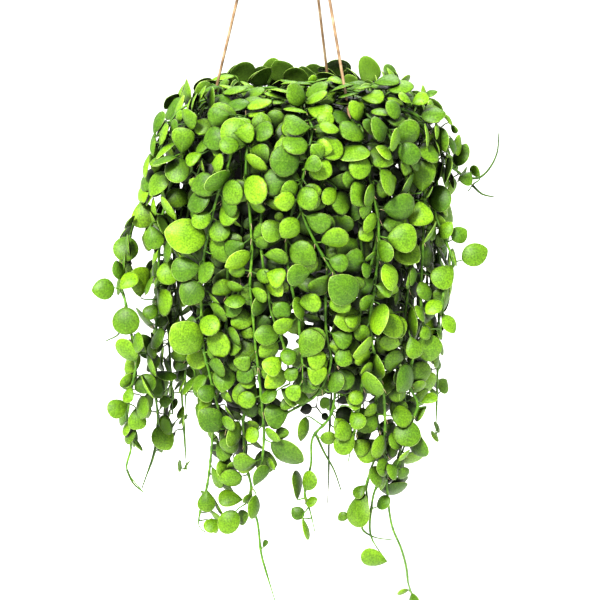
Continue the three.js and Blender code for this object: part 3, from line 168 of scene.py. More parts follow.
# Leaf: a living waxy blade. The cuticle gives it a soft wide sheen and the flesh lets a little
# light through. The eye sees a thin paler rim, the barest midrib and side veins, fine mottling, a
# darker foot, and dark glands a few millimetres apart, drawn about 0.8 mm wide so that they show.
# Painted shade: leaves deep in the plant and low down are darkened, and places where blades crowd together
# are darkened by ambient occlusion.
def leaf_material():
    material = new_material("waxy_living_leaf")
    place = add_node(material, "ShaderNodeAttribute", {"attribute_name": "leaf_place"}).outputs["Color"]
    kind = add_node(material, "ShaderNodeAttribute", {"attribute_name": "leaf_kind"}).outputs["Color"]
    along, across, edge = add_node(material, "ShaderNodeSeparateColor", links={"Color": place}).outputs
    tint, shade, under = add_node(material, "ShaderNodeSeparateColor", links={"Color": kind}).outputs
    where = add_node(material, "ShaderNodeTexCoord").outputs["Object"]

    # sunlit is the lit leaf green and inner a painted shade copy of it, near black; the painted shade value
    # mixes them
    sunlit = add_node(material, "ShaderNodeValToRGB", {
        "stops": [(0.0, "#456e0a"), (0.4, "#5e880c"), (0.75, "#6e9a0d"), (1.0, "#7fab14")]}, {"Fac": tint})
    inner = add_node(material, "ShaderNodeValToRGB", {
        "stops": [(0.0, "#040902"), (0.6, "#0b1805"), (1.0, "#152b09")]}, {"Fac": tint})
    colour = add_node(material, "ShaderNodeMix", {"data_type": "RGBA"}, {0: shade, 6: sunlit, 7: inner})

    cloud = add_node(material, "ShaderNodeTexNoise", {"Scale": 1 / 0.012, "Detail": 2.0}, {"Vector": where})
    patch = add_node(material, "ShaderNodeMapRange", {"From Min": 0.42, "From Max": 0.7, "To Max": 0.5},
                     {"Value": cloud.outputs["Fac"]})
    colour = add_node(material, "ShaderNodeMix", {
        "data_type": "RGBA", "blend_type": "MULTIPLY", 7: "#b9d08c"}, {0: patch, 6: colour})
    heart = add_node(material, "ShaderNodeMapRange", {"From Min": 0.15, "From Max": 0.8, "To Min": 0.4,
                                                      "To Max": 0.0}, {"Value": edge})
    colour = add_node(material, "ShaderNodeMix", {
        "data_type": "RGBA", "blend_type": "MULTIPLY", 7: "#a8c66a"}, {0: heart, 6: colour})

    aside = add_node(material, "ShaderNodeMath", {"operation": "SUBTRACT", 1: 0.5}, {0: across})
    aside = add_node(material, "ShaderNodeMath", {"operation": "ABSOLUTE"}, {0: aside})
    rib = add_node(material, "ShaderNodeMapRange", {"From Max": 0.03, "To Min": 0.05, "To Max": 0.0},
                   {"Value": aside})
    colour = add_node(material, "ShaderNodeMix", {"data_type": "RGBA", 7: "#c3e26a"}, {0: rib, 6: colour})
    slant = add_node(material, "ShaderNodeMath", {"operation": "MULTIPLY_ADD", 1: -0.8},
                     {0: aside, 2: along})
    wave = add_node(material, "ShaderNodeMath", {"operation": "MULTIPLY", 1: 2 * math.pi * 7}, {0: slant})
    wave = add_node(material, "ShaderNodeMath", {"operation": "SINE"}, {0: wave})
    vein = add_node(material, "ShaderNodeMapRange", {"From Min": 0.86, "From Max": 1.0, "To Max": 0.025},
                    {"Value": wave})
    colour = add_node(material, "ShaderNodeMix", {"data_type": "RGBA", 7: "#b4da58"}, {0: vein, 6: colour})

    rim = add_node(material, "ShaderNodeMapRange", {"From Min": 0.96, "From Max": 1.0, "To Max": 0.6},
                   {"Value": edge})
    colour = add_node(material, "ShaderNodeMix", {"data_type": "RGBA", 7: "#cdeb78"}, {0: rim, 6: colour})

    fleck = add_node(material, "ShaderNodeTexNoise", {"Scale": 1 / 0.0016, "Detail": 3.0}, {"Vector": where})
    pale = add_node(material, "ShaderNodeMapRange", {"From Min": 0.35, "From Max": 0.7, "To Min": 0.62,
                                                     "To Max": 1.3}, {"Value": fleck.outputs["Fac"]})
    colour = add_node(material, "ShaderNodeMix", {"data_type": "RGBA", "blend_type": "MULTIPLY", 0: 1.0},
                      {6: colour, 7: pale})
    foot = add_node(material, "ShaderNodeMapRange", {"From Min": 0.0, "From Max": 0.45, "To Min": 0.45,
                                                     "To Max": 0.0}, {"Value": along})
    colour = add_node(material, "ShaderNodeMix", {
        "data_type": "RGBA", "blend_type": "MULTIPLY", 7: "#8fae6a"}, {0: foot, 6: colour})

    gland = add_node(material, "ShaderNodeTexVoronoi", {"Scale": 1 / 0.0024}, {"Vector": where})
    spot = add_node(material, "ShaderNodeMapRange", {"From Min": 0.13, "From Max": 0.22, "To Min": 0.85,
                                                     "To Max": 0.0}, {"Value": gland.outputs["Distance"]})
    chance = add_node(material, "ShaderNodeSeparateColor", links={"Color": gland.outputs["Color"]})
    some = add_node(material, "ShaderNodeMapRange", {"From Min": 0.6, "From Max": 0.66},
                    {"Value": chance.outputs["Red"]})
    spot = add_node(material, "ShaderNodeMath", {"operation": "MULTIPLY"}, {0: spot, 1: some})
    colour = add_node(material, "ShaderNodeMix", {"data_type": "RGBA", 7: "#1d3208"}, {0: spot, 6: colour})

    under = add_node(material, "ShaderNodeMath", {"operation": "MULTIPLY", 1: 0.5}, {0: under})
    colour = add_node(material, "ShaderNodeMix", {"data_type": "RGBA", 7: "#6f9a35"}, {0: under, 6: colour})
    # Painted shade: ambient occlusion darkens the blade towards near black where blades crowd together
    painted_crevice_shade = add_node(material, "ShaderNodeAmbientOcclusion", {"Distance": 0.04, "samples": 8})
    painted_crevice_shade = add_node(material, "ShaderNodeMapRange", {"From Min": 0.27, "From Max": 0.82, "To Min": 0.02},
                      {"Value": painted_crevice_shade.outputs["AO"]})
    colour = add_node(material, "ShaderNodeMix", {"data_type": "RGBA", 6: "#050b03"}, {0: painted_crevice_shade, 7: colour})

    grain = add_node(material, "ShaderNodeTexNoise", {"Scale": 1 / 0.0012, "Detail": 3.0}, {"Vector": where})
    height = add_node(material, "ShaderNodeMath", {"operation": "MULTIPLY_ADD", 1: -1.5},
                      {0: rib, 2: grain.outputs["Fac"]})
    bump = add_node(material, "ShaderNodeBump", {"Strength": 0.45, "Distance": 0.0005}, {"Height": height})
    rough = add_node(material, "ShaderNodeMapRange", {"To Min": 0.4, "To Max": 0.55},
                     {"Value": cloud.outputs["Fac"]})
    shader = add_node(material, "ShaderNodeBsdfPrincipled", {
        "IOR": 1.42, "Specular IOR Level": 0.3, "Subsurface Weight": 0.12, "Subsurface Scale": 0.002,
        "Subsurface Radius": (0.6, 1.0, 0.2),
    }, {"Base Color": colour, "Roughness": rough, "Normal": bump})
    add_node(material, "ShaderNodeOutputMaterial", links={"Surface": shader})
    return material


# Stem: living green bark, smooth and faintly waxy and streaked, with painted shade making it darker deep
# inside the plant and where things crowd together
def stem_material():
    material = new_material("green_vine_stem")
    kind = add_node(material, "ShaderNodeAttribute", {"attribute_name": "leaf_kind"}).outputs["Color"]
    shade = add_node(material, "ShaderNodeSeparateColor", links={"Color": kind}).outputs["Green"]
    where = add_node(material, "ShaderNodeTexCoord").outputs["Object"]
    streak = add_node(material, "ShaderNodeTexNoise", {"Scale": 1 / 0.006, "Detail": 3.0},
                      {"Vector": where}).outputs["Fac"]
    # The lit stem green and a near black painted shade copy of it, mixed by the painted shade value
    lit_stem_green = add_node(material, "ShaderNodeValToRGB", {
        "stops": [(0.3, "#36600d"), (0.55, "#4f7d16"), (0.75, "#71992a")]}, {"Fac": streak})
    painted_shade_stem = add_node(material, "ShaderNodeValToRGB", {
        "stops": [(0.3, "#0b1204"), (0.7, "#1d2a0c")]}, {"Fac": streak})
    colour = add_node(material, "ShaderNodeMix", {"data_type": "RGBA"}, {0: shade, 6: lit_stem_green, 7: painted_shade_stem})
    # Painted shade: ambient occlusion darkens the stem where things crowd together
    painted_crevice_shade = add_node(material, "ShaderNodeAmbientOcclusion", {"Distance": 0.04, "samples": 6})
    painted_crevice_shade = add_node(material, "ShaderNodeMapRange", {"From Min": 0.2, "From Max": 0.8, "To Min": 0.05},
                      {"Value": painted_crevice_shade.outputs["AO"]})
    colour = add_node(material, "ShaderNodeMix", {"data_type": "RGBA", 6: "#040702"}, {0: painted_crevice_shade, 7: colour})
    fine = add_node(material, "ShaderNodeTexNoise", {"Scale": 1 / 0.0008, "Detail": 2.0}, {"Vector": where})
    bump = add_node(material, "ShaderNodeBump", {"Strength": 0.3, "Distance": 0.0003},
                    {"Height": fine.outputs["Fac"]})
    shader = add_node(material, "ShaderNodeBsdfPrincipled", {
        "IOR": 1.42, "Specular IOR Level": 0.3, "Roughness": 0.5},
                      {"Base Color": colour, "Normal": bump})
    add_node(material, "ShaderNodeOutputMaterial", links={"Surface": shader})
    return material


# Air root: dry and fibrous, tan with paler places
def air_root_material():
    material = new_material("dry_air_root")
    where = add_node(material, "ShaderNodeTexCoord").outputs["Object"]
    noise = add_node(material, "ShaderNodeTexNoise", {"Scale": 1 / 0.004}, {"Vector": where})
    colour = add_node(material, "ShaderNodeValToRGB", {"stops": [(0.3, "#86724a"), (0.7, "#c3b189")]},
                      {"Fac": noise.outputs["Fac"]})
    shader = add_node(material, "ShaderNodeBsdfPrincipled", {"Roughness": 0.85}, {"Base Color": colour})
    add_node(material, "ShaderNodeOutputMaterial", links={"Surface": shader})
    return material


# Pot: moulded polypropylene, near black, its satin skin broken by fine pitting and a little dust
def pot_material():
    material = new_material("moulded_polypropylene")
    where = add_node(material, "ShaderNodeTexCoord").outputs["Object"]
    dust = add_node(material, "ShaderNodeTexNoise", {"Scale": 1 / 0.03, "Detail": 4.0},
                    {"Vector": where}).outputs["Fac"]
    colour = add_node(material, "ShaderNodeValToRGB", {
        "stops": [(0.35, "#171316"), (0.6, "#241d20"), (0.8, "#3a3231")]}, {"Fac": dust})
    pits = add_node(material, "ShaderNodeTexNoise", {"Scale": 1 / 0.0009, "Detail": 2.0}, {"Vector": where})
    bump = add_node(material, "ShaderNodeBump", {"Strength": 0.25, "Distance": 0.0002},
                    {"Height": pits.outputs["Fac"]})
    rough = add_node(material, "ShaderNodeMapRange", {"To Min": 0.38, "To Max": 0.62}, {"Value": dust})
    shader = add_node(material, "ShaderNodeBsdfPrincipled", {"IOR": 1.49},
                      {"Base Color": colour, "Roughness": rough, "Normal": bump})
    add_node(material, "ShaderNodeOutputMaterial", links={"Surface": shader})
    return material


# Husk: shredded coconut coir, dry and fibrous, with darker damp places
def husk_material():
    material = new_material("shredded_coconut_husk")
    where = add_node(material, "ShaderNodeTexCoord").outputs["Object"]
    wide = add_node(material, "ShaderNodeTexNoise", {"Scale": 1 / 0.012, "Detail": 4.0}, {"Vector": where})
    fibre = add_node(material, "ShaderNodeTexNoise", {"Scale": 1 / 0.0016, "Detail": 4.0, "Distortion": 1.5},
                     {"Vector": where}).outputs["Fac"]
    colour = add_node(material, "ShaderNodeValToRGB", {
        "stops": [(0.3, "#20140c"), (0.55, "#48301c"), (0.75, "#775334")]}, {"Fac": wide.outputs["Fac"]})
    pale = add_node(material, "ShaderNodeMapRange", {"From Min": 0.5, "From Max": 0.75, "To Max": 0.6},
                    {"Value": fibre})
    colour = add_node(material, "ShaderNodeMix", {"data_type": "RGBA", 7: "#8f6a44"}, {0: pale, 6: colour})
    bump = add_node(material, "ShaderNodeBump", {"Strength": 0.8, "Distance": 0.001}, {"Height": fibre})
    shader = add_node(material, "ShaderNodeBsdfPrincipled", {"Roughness": 0.92},
                      {"Base Color": colour, "Normal": bump})
    add_node(material, "ShaderNodeOutputMaterial", links={"Surface": shader})
    return material


# Wire: drawn steel gone brown with thin rust, bare metal showing through in streaks
def wire_material():
    material = new_material("rusted_drawn_steel")
    where = add_node(material, "ShaderNodeTexCoord").outputs["Object"]
    rust = add_node(material, "ShaderNodeTexNoise", {"Scale": 1 / 0.009, "Detail": 5.0},
                    {"Vector": where}).outputs["Fac"]
    colour = add_node(material, "ShaderNodeValToRGB", {
        "stops": [(0.3, "#5d4630"), (0.48, "#8a6c4c"), (0.62, "#b29775"), (0.8, "#cbb796")]}, {"Fac": rust})
    bare = add_node(material, "ShaderNodeMapRange", {"From Min": 0.45, "From Max": 0.75, "To Min": 0.1,
                                                     "To Max": 0.6}, {"Value": rust})
    fine = add_node(material, "ShaderNodeTexNoise", {"Scale": 1 / 0.0007, "Detail": 3.0}, {"Vector": where})
    bump = add_node(material, "ShaderNodeBump", {"Strength": 0.4, "Distance": 0.0002},
                    {"Height": fine.outputs["Fac"]})
    rough = add_node(material, "ShaderNodeMapRange", {"To Min": 0.7, "To Max": 0.4}, {"Value": rust})
    shader = add_node(material, "ShaderNodeBsdfPrincipled", {},
                      {"Base Color": colour, "Metallic": bare, "Roughness": rough, "Normal": bump})
    add_node(material, "ShaderNodeOutputMaterial", links={"Surface": shader})
    return material


# Studio floor: matt white paper
def floor_material():
    material = new_material("matt_white_paper")
    shader = add_node(material, "ShaderNodeBsdfPrincipled", {"Base Color": "#f6f6f4", "Roughness": 0.9})
    add_node(material, "ShaderNodeOutputMaterial", links={"Surface": shader})
    return material


LEAF = leaf_material()
STEM = stem_material()
AIR_ROOT = air_root_material()
PLASTIC = pot_material()
HUSK = husk_material()
WIRE = wire_material()


# Meshes

class Mesh:
    """Vertices, faces of three or four corners, and what the leaf materials read, gathered up."""

    def __init__(self):
        self.points, self.faces, self.slots, self.places, self.kinds = [], [], [], [], []
        self.count = 0

    def add(self, points, faces, slot=0, places=None, kinds=(0.5, 0.0, 0.0)):
        points = np.asarray(points, float)
        size = len(points)
        self.points.append(points)
        self.faces.extend([tuple(c + self.count for c in face) for face in faces])
        self.slots.extend([slot] * len(faces))
        self.places.append(np.zeros((size, 3)) if places is None else places)
        self.kinds.append(np.broadcast_to(np.asarray(kinds, float), (size, 3)))
        self.count += size

    def build(self, name, materials, replaced=()):
        data = bpy.data.meshes.new(name)
        data.from_pydata((np.concatenate(self.points) * METRES).tolist(), [], self.faces)
        for material in materials:
            data.materials.append(material)
        data.polygons.foreach_set("material_index", self.slots)
        data.polygons.foreach_set("use_smooth", [True] * len(data.polygons))
        # leaf_kind carries a random tint, the painted shade value and the underside mark
        for title, values in (("leaf_place", self.places), ("leaf_kind", self.kinds)):
            layer = data.attributes.new(title, "FLOAT_COLOR", "POINT")
            four = np.concatenate([np.concatenate(values), np.ones((self.count, 1))], 1)
            layer.data.foreach_set("color", four.ravel().astype(np.float32))
        work = bmesh.new()
        work.from_mesh(data)
        bmesh.ops.remove_doubles(work, verts=work.verts, dist=1e-6)
        bmesh.ops.dissolve_degenerate(work, edges=work.edges, dist=1e-6)
        bmesh.ops.recalc_face_normals(work, faces=work.faces)
        work.to_mesh(data)
        work.free()
        piece = bpy.data.objects.new(name, data)
        bpy.context.scene.collection.objects.link(piece)
        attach(piece, "root")
        if replaced:
            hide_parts(*replaced)


def unit(v):
    v = np.asarray(v, float)
    return v / max(np.linalg.norm(v), 1e-9)


def smooth_path(points, step):
    """A smooth line through the points, with a point about every step."""
    points = [np.asarray(p, float) for p in points]
    ends = [2 * points[0] - points[1], *points, 2 * points[-1] - points[-2]]
    line = []
    for i in range(1, len(ends) - 2):
        a, b, c, d = ends[i - 1:i + 3]
        parts = max(1, round(np.linalg.norm(c - b) / step))
        for k in range(parts):
            t = k / parts
            line.append(0.5 * (2 * b + (c - a) * t + (2 * a - 5 * b + 4 * c - d) * t * t
                               + (3 * b - a - 3 * c + d) * t ** 3))
    line.append(points[-1])
    return np.array(line)


def tube(mesh, line, radii, sides, slot=0, kinds=(0.5, 0.0, 0.0), closed=True):
    """A round rod along a line, with its radius at each point."""
    line = np.asarray(line, float)
    ahead = np.gradient(line, axis=0)
    across = np.array([1.0, 0.0, 0.0]) if abs(unit(ahead[0])[0]) < 0.9 else np.array([0.0, 1.0, 0.0])
    angles = 2 * math.pi * np.arange(sides) / sides
    rings = []
    for point, heading, radius in zip(line, ahead, np.broadcast_to(radii, len(line))):
        heading = unit(heading)
        across = unit(across - heading * (across @ heading))
        other = np.cross(heading, across)
        rings.append(point + radius * (np.outer(np.cos(angles), across) + np.outer(np.sin(angles), other)))
    points = np.concatenate(rings + [line[:1], line[-1:]])
    faces = []
    for i in range(len(line) - 1):
        for k in range(sides):
            a, b = i * sides + k, i * sides + (k + 1) % sides
            faces.append((a, b, b + sides, a + sides))
    if closed:
        foot, head = len(line) * sides, len(line) * sides + 1
        last = (len(line) - 1) * sides
        for k in range(sides):
            faces.append((foot, (k + 1) % sides, k))
            faces.append((head, last + k, last + (k + 1) % sides))
    if np.ndim(kinds) == 2:
        kinds = np.concatenate([np.repeat(kinds, sides, 0), kinds[:1], kinds[-1:]])
    mesh.add(points, faces, slot, kinds=kinds)


# Reading the stems and leaves of the frame

WELD = 1e-6
RIM_SMALL = 7


def read_strand(node):
    """The middle line of a leafy stem, from its foot, and its leaves."""
    work = bmesh.new()
    work.from_mesh(node.data)
    bmesh.ops.remove_doubles(work, verts=work.verts, dist=WELD)
    work.verts.ensure_lookup_table()
    work.verts.index_update()
    points = np.array([v.co for v in work.verts]) / METRES
    near = [{e.other_vert(v).index for e in v.link_edges} for v in work.verts]
    work.free()

    # A leaf's middle corners on its two faces lie a blade's thickness apart and share its rim. The
    # lower one is joined to the underside of the petiole too.
    leaves, used = [], set()
    hubs = [i for i, around in enumerate(near) if len(around) >= RIM_SMALL]
    for top in hubs:
        for bottom in hubs:
            rim = near[top] & near[bottom]
            apart = np.linalg.norm(points[top] - points[bottom])
            heel = near[bottom] - rim
            if len(rim) < RIM_SMALL or abs(apart - BLADE_THICKNESS) > 0.02:
                continue
            if near[top] - rim or len(heel) != 1:
                continue
            ends = near[next(iter(heel))] & rim
            chain = [min(ends)]
            while len(chain) < len(rim):
                onward = (near[chain[-1]] & rim) - set(chain)
                chain.append(next(k for k in onward if k not in ends or len(chain) == len(rim) - 1))
            base = (points[chain[0]] + points[chain[-1]]) / 2
            tip = points[chain[len(chain) // 2]]
            if len(rim) == RIM_SMALL:
                wide = np.linalg.norm(points[chain[1]] - points[chain[5]]) / 0.86
            else:
                wide = np.linalg.norm(points[chain[2]] - points[chain[6]])
            midrib, normal = unit(tip - base), unit(points[top] - points[bottom])
            leaves.append({"base": base, "midrib": midrib, "normal": normal, "wide": wide,
                           "side": np.cross(normal, midrib), "long": np.linalg.norm(tip - base)})
            used |= {top, bottom} | rim | heel

    # The rest are the rings of the stem: three corners each, an equal side apart
    rest = [i for i in range(len(points)) if i not in used]
    gaps = np.linalg.norm(points[rest][:, None] - points[rest][None], axis=2)
    close = np.abs(gaps - STEM_SIDE) < 0.02
    rings, taken = [], set()
    for a in range(len(rest)):
        for b in np.nonzero(close[a])[0]:
            for c in np.nonzero(close[a] & close[b])[0]:
                if a < b < c and not taken & {a, b, c}:
                    rings.append((a, b, c))
                    taken |= {a, b, c}
    home = {rest[k]: r for r, ring in enumerate(rings) for k in ring}
    beside = [set() for _ in rings]
    for vertex, ring in home.items():
        beside[ring] |= {home[k] for k in near[vertex] if k in home and home[k] != ring}
    middles = [points[[rest[k] for k in ring]].mean(0) for ring in rings]
    foot_height = RIM_HEIGHT + MIX_LEVEL - ROOT_DEPTH

    def not_foot(r):
        inside = math.hypot(*middles[r][:2]) < POT_TOP_RADIUS
        return abs(middles[r][2] - foot_height) + 1000 * (len(beside[r]) > 1) + 500 * (not inside)

    order = [min(range(len(rings)), key=not_foot)]
    while True:
        onward = [r for r in beside[order[-1]] if r not in order]
        if not onward:
            break
        order.append(min(onward, key=lambda r: np.linalg.norm(middles[r] - middles[order[-1]])))
    return thinned([middles[r] for r in order], 4.0), leaves


def thinned(points, least):
    """The same line, with points that lie close together taken as one."""
    groups = [[points[0]]]
    for p in points[1:]:
        if np.linalg.norm(p - groups[-1][-1]) < least:
            groups[-1].append(p)
        else:
            groups.append([p])
    return [np.mean(group, 0) for group in groups]


# Where things lie on the dome of stems over the pot and on the curtain below it

def outward(p):
    """The way out of the plant at a point."""
    x, y, z = p[0], p[1], p[2] - RIM_HEIGHT
    radius = max(math.hypot(x, y), 1e-6)
    if z < TURN:
        return np.array([x / radius, y / radius, 0.0])
    level = (min(radius, SHOULDER) / SHOULDER) ** 3 / SHOULDER
    rise = ((z - TURN) / (CREST - TURN)) ** 3 / (CREST - TURN)
    return unit([level * x / radius, level * y / radius, max(rise, 1e-5)])


def depth_inside(p):
    """How far a point lies behind the outer leaves, in millimetres."""
    radius, z = math.hypot(p[0], p[1]), p[2] - RIM_HEIGHT
    if z < TURN:
        return SHOULDER + 6 - radius
    share = ((radius / SHOULDER) ** 4 + ((z - TURN) / (CREST - TURN)) ** 4) ** 0.25
    return (1.05 - share) * (CREST - TURN)


# Leaves

class Crowd:
    """The blades that stand already, for keeping later ones clear of them."""

    def __init__(self):
        self.size = 0
        self.middles, self.reaches = np.zeros((4000, 3)), np.zeros(4000)
        self.axes, self.corners = np.zeros((4000, 3, 3)), np.zeros((4000, 10, 3))

    def measure(self, leaf):
        axes = np.array([leaf["midrib"], leaf["side"], leaf["normal"]])
        dome = BLADE_DOME * leaf["long"]
        at = np.array([(0, 0, 0), (0.2, 0.36, 0), (0.5, 0.5, 0), (0.8, 0.4, 0), (1, 0, 0), (0.8, -0.4, 0),
                       (0.5, -0.5, 0), (0.2, -0.36, 0), (0.5, 0, 1), (0.5, 0, 0)])
        at = at * np.array([leaf["long"], leaf["wide"], dome])
        at[9, 2] = dome - BLADE_THICKNESS
        corners = leaf["base"] + at @ axes
        middle = corners.mean(0)
        return axes, corners, middle, np.linalg.norm(corners - middle, axis=1).max()

    def add(self, leaf):
        n = self.size
        self.axes[n], self.corners[n], self.middles[n], self.reaches[n] = self.measure(leaf)
        self.size += 1

    def clear(self, leaf, gap):
        """Whether a plane with the gap on both sides of it parts the leaf from every other one."""
        axes, corners, middle, reach = self.measure(leaf)
        far = np.linalg.norm(self.middles[:self.size] - middle, axis=1)
        near = np.nonzero(far < self.reaches[:self.size] + reach + gap)[0]
        if len(near) == 0:
            return True
        others = self.axes[near]
        own = np.broadcast_to(axes, others.shape)
        between = (self.middles[near] - middle)[:, None]
        planes = np.concatenate([own, others, between, np.cross(own[:, [0, 1, 0, 1, 2]],
                                                                others[:, [0, 1, 1, 0, 2]])], 1)
        planes = planes / np.maximum(np.linalg.norm(planes, axis=2, keepdims=True), 1e-6)
        a = np.einsum("kax,px->kap", planes, corners)
        b = np.einsum("kax,kpx->kap", planes, self.corners[near])
        parted = (a.min(2) - b.max(2) > gap) | (b.min(2) - a.max(2) > gap)
        return bool(parted.any(1).all())


CROWD = Crowd()


def clear_of_rods(leaf, rods):
    """Whether the stems, given as points along them, pass beside the blade."""
    away = rods - leaf["base"]
    m, s, n = (away @ leaf[key] for key in ("midrib", "side", "normal"))
    m, s = m / leaf["long"], s / leaf["wide"]
    dome = BLADE_DOME * leaf["long"]
    hit = (m > 0.02) & (m < 1.06) & (np.abs(s) < 0.58) & (n > -2.6) & (n < dome + 2.6)
    return not hit.any()


def clear_of_pot(leaf):
    points = CROWD.measure(leaf)[1] - np.array([0, 0, RIM_HEIGHT])
    radius, z = np.hypot(points[:, 0], points[:, 1]), points[:, 2]
    wall = POT_TOP_RADIUS + (POT_TOP_RADIUS - POT_BASE_RADIUS) * np.minimum(z, 0) / POT_HEIGHT
    above = (z > 3) | (radius > RIM_RADIUS + 3) | ((radius < POT_TOP_RADIUS - 6) & (z > MIX_LEVEL + 3))
    below = (z < -RIM_THICKNESS - 3) & ((radius > wall + 3) | (z < -POT_HEIGHT - 3))
    return bool((above | below).all())


# Corners of the outline of the plant as it is seen from the front, and the places where one sees
# through it, in the pixels of the photograph's frame
OUTLINE = [
    (150, 140), (166, 118), (186, 106), (198, 88), (214, 79), (238, 80), (262, 90), (284, 78), (305, 80),
    (332, 76), (348, 84), (364, 86), (380, 66), (392, 62), (402, 78), (418, 78), (434, 92), (446, 108),
    (458, 126), (472, 150), (474, 180), (456, 190), (446, 196), (450, 214), (468, 228), (488, 248),
    (484, 264), (456, 268), (454, 292), (444, 316), (458, 328), (438, 346), (441, 366), (441, 388),
    (422, 408), (430, 440), (424, 460), (408, 480), (396, 498), (372, 486), (368, 466), (346, 456),
    (340, 440), (330, 434), (308, 416), (286, 420), (302, 456), (290, 468), (266, 470), (262, 500),
    (240, 534), (200, 532), (196, 500), (206, 470), (212, 440), (196, 418), (194, 384), (176, 366),
    (176, 430), (168, 456), (128, 450), (106, 414), (126, 378), (112, 350), (98, 296), (118, 262),
    (112, 222), (132, 200), (144, 170),
]
SEE_THROUGH = [(184, 310), (176, 270), (292, 340), (283, 385), (417, 300), (170, 345), (318, 410)]
SEE_THROUGH_RADIUS = 5.0


def inside_outline(points):
    """Which points of the photograph's frame lie inside the plant's outline."""
    u, v = points[:, 0], points[:, 1]
    inside = np.zeros(len(points), bool)
    for (au, av), (bu, bv) in zip(OUTLINE, OUTLINE[1:] + OUTLINE[:1]):
        across = (av > v) != (bv > v)
        with np.errstate(divide="ignore", invalid="ignore"):
            inside ^= across & (u < (bu - au) * (v - av) / (bv - av) + au)
    return inside


def seen_well(leaf):
    """Whether the leaf keeps inside the outline and off the places one sees through."""
    seen = on_sheet(CROWD.measure(leaf)[1])
    middle = seen[:9].mean(0)
    reach = np.linalg.norm(seen[:9] - middle, axis=1).mean() + SEE_THROUGH_RADIUS
    if min(np.linalg.norm(middle - np.array(gap)) for gap in SEE_THROUGH) < reach:
        return False
    return inside_outline(seen).mean() > 0.85


# Corners round a blade: the frame's own leaves are the finer ones
FINE_BLADE_SIDES = 20
PLAIN_BLADE_SIDES = 14


def draw_blade(mesh, leaf, rng, around):
    """A domed fleshy blade with a rounded edge: drop-shaped, round or ovate."""
    form = rng.random()
    if form < 0.45:
        full, blunt = rng.uniform(0.75, 1.0), rng.uniform(0.4, 0.54)
    elif form < 0.7:
        full, blunt = rng.uniform(0.52, 0.62), rng.uniform(0.46, 0.56)
    else:
        full, blunt = rng.uniform(0.55, 0.68), rng.uniform(0.66, 0.84)
    droop, fold = rng.uniform(0.0, 0.05), rng.uniform(-0.03, 0.05)
    wave, beat = rng.uniform(0.0, 0.012), rng.uniform(0, 6)
    half = around // 2
    t = np.concatenate([np.arange(half + 1) / half, np.arange(half - 1, 0, -1) / half])
    hand = np.concatenate([np.ones(half + 1), -np.ones(half - 1)])
    m = (1 - np.cos(math.pi * t)) / 2
    peak = full / (full + blunt)
    s = hand * 0.5 * (m / peak) ** full * ((1 - m) / (1 - peak)) ** blunt
    s[[0, half]] = 0

    fine = around == FINE_BLADE_SIDES
    shares = [0.35, 0.65, 0.88, 0.97, 1.0] if fine else [0.5, 0.9, 1.0]
    under = [0.96, 0.6] if fine else [0.6]
    rows = [(f, 1) for f in shares] + [(f, -1) for f in under]
    ms, ss, ns, edges, unders = [], [], [], [], []
    for f, face in rows + [(0.0, 1), (0.0, -1)]:
        rm, rs = 0.5 + (m - 0.5) * f, s * f
        if f == 0:
            rm, rs = rm[:1], rs[:1]
        rounded = math.sqrt(max(0.0, 1 - max(0.0, (f - 0.88) / 0.12) ** 2))
        thick = BLADE_THICKNESS * (1 - 0.45 * f * f) * rounded
        lift = 0.105 * leaf["long"] * (1 - f * f)
        bend = -droop * leaf["long"] * rm ** 3 + fold * leaf["wide"] * (np.abs(rs) * 2) ** 2 * 0.5
        ripple = wave * leaf["long"] * np.sin(beat + 9 * rm + 5 * rs) * f ** 3
        ms.append(rm)
        ss.append(rs)
        ns.append(lift + bend + ripple + face * thick / 2)
        edges.append(np.full(len(rm), f))
        unders.append(np.full(len(rm), float(face < 0)))
    m, s, n, edge, below = (np.concatenate(part) for part in (ms, ss, ns, edges, unders))
    points = (leaf["base"] + np.outer(m * leaf["long"], leaf["midrib"])
              + np.outer(s * leaf["wide"], leaf["side"]) + np.outer(n, leaf["normal"]))
    last = len(rows)
    faces = []
    for k in range(around):
        j = (k + 1) % around
        faces.append((last * around, j, k))
        faces.append((last * around + 1, (last - 1) * around + k, (last - 1) * around + j))
        for r in range(last - 1):
            faces.append((r * around + k, r * around + j, (r + 1) * around + j, (r + 1) * around + k))
    # Painted shade: blades deep inside the plant and lower down get a higher shade value, which darkens them
    shade = 0.5 + 0.5 * math.tanh((depth_inside(points[-1]) - 14) / 7)
    low = min(1.0, max(0.0, (RIM_HEIGHT - points[-1][2] - 40) / 300))
    shade = min(1.0, max(0.0, shade * leaf.get("dim", 0.8) + 0.2 * low + rng.uniform(-0.1, 0.12)))
    kinds = np.stack([np.full(len(m), leaf.get("tint", rng.random())), np.full(len(m), shade), below], 1)
    mesh.add(points, faces, 0, np.stack([m, s + 0.5, edge], 1), kinds)


def nearest_on(line, p):
    """The place on a line nearest to a point: the point there and the way the line runs."""
    i = int(np.argmin(np.linalg.norm(line - p, axis=1)))
    ahead = unit(line[min(i + 1, len(line) - 1)] - line[max(i - 1, 0)])
    return line[i], ahead, i


def draw_petiole(mesh, root, leaf, shade):
    """The short stalk from the stem into the foot of the blade."""
    end = leaf["base"] + leaf["midrib"] * 0.05 * leaf["long"] + leaf["normal"] * 0.2
    span = np.linalg.norm(end - root)
    way = unit(end - root)
    bend = unit(way + 0.3 * leaf["normal"])
    t = np.linspace(0, 1, 6)[:, None]
    a, b, c = root, root + bend * span * 0.45, end - leaf["midrib"] * span * 0.35
    line = (1 - t) ** 3 * a + 3 * (1 - t) ** 2 * t * b + 3 * (1 - t) * t * t * c + t ** 3 * end
    tube(mesh, line, np.linspace(0.85, 0.6, 6), 5, 1, (0.5, shade, 0.0), closed=False)


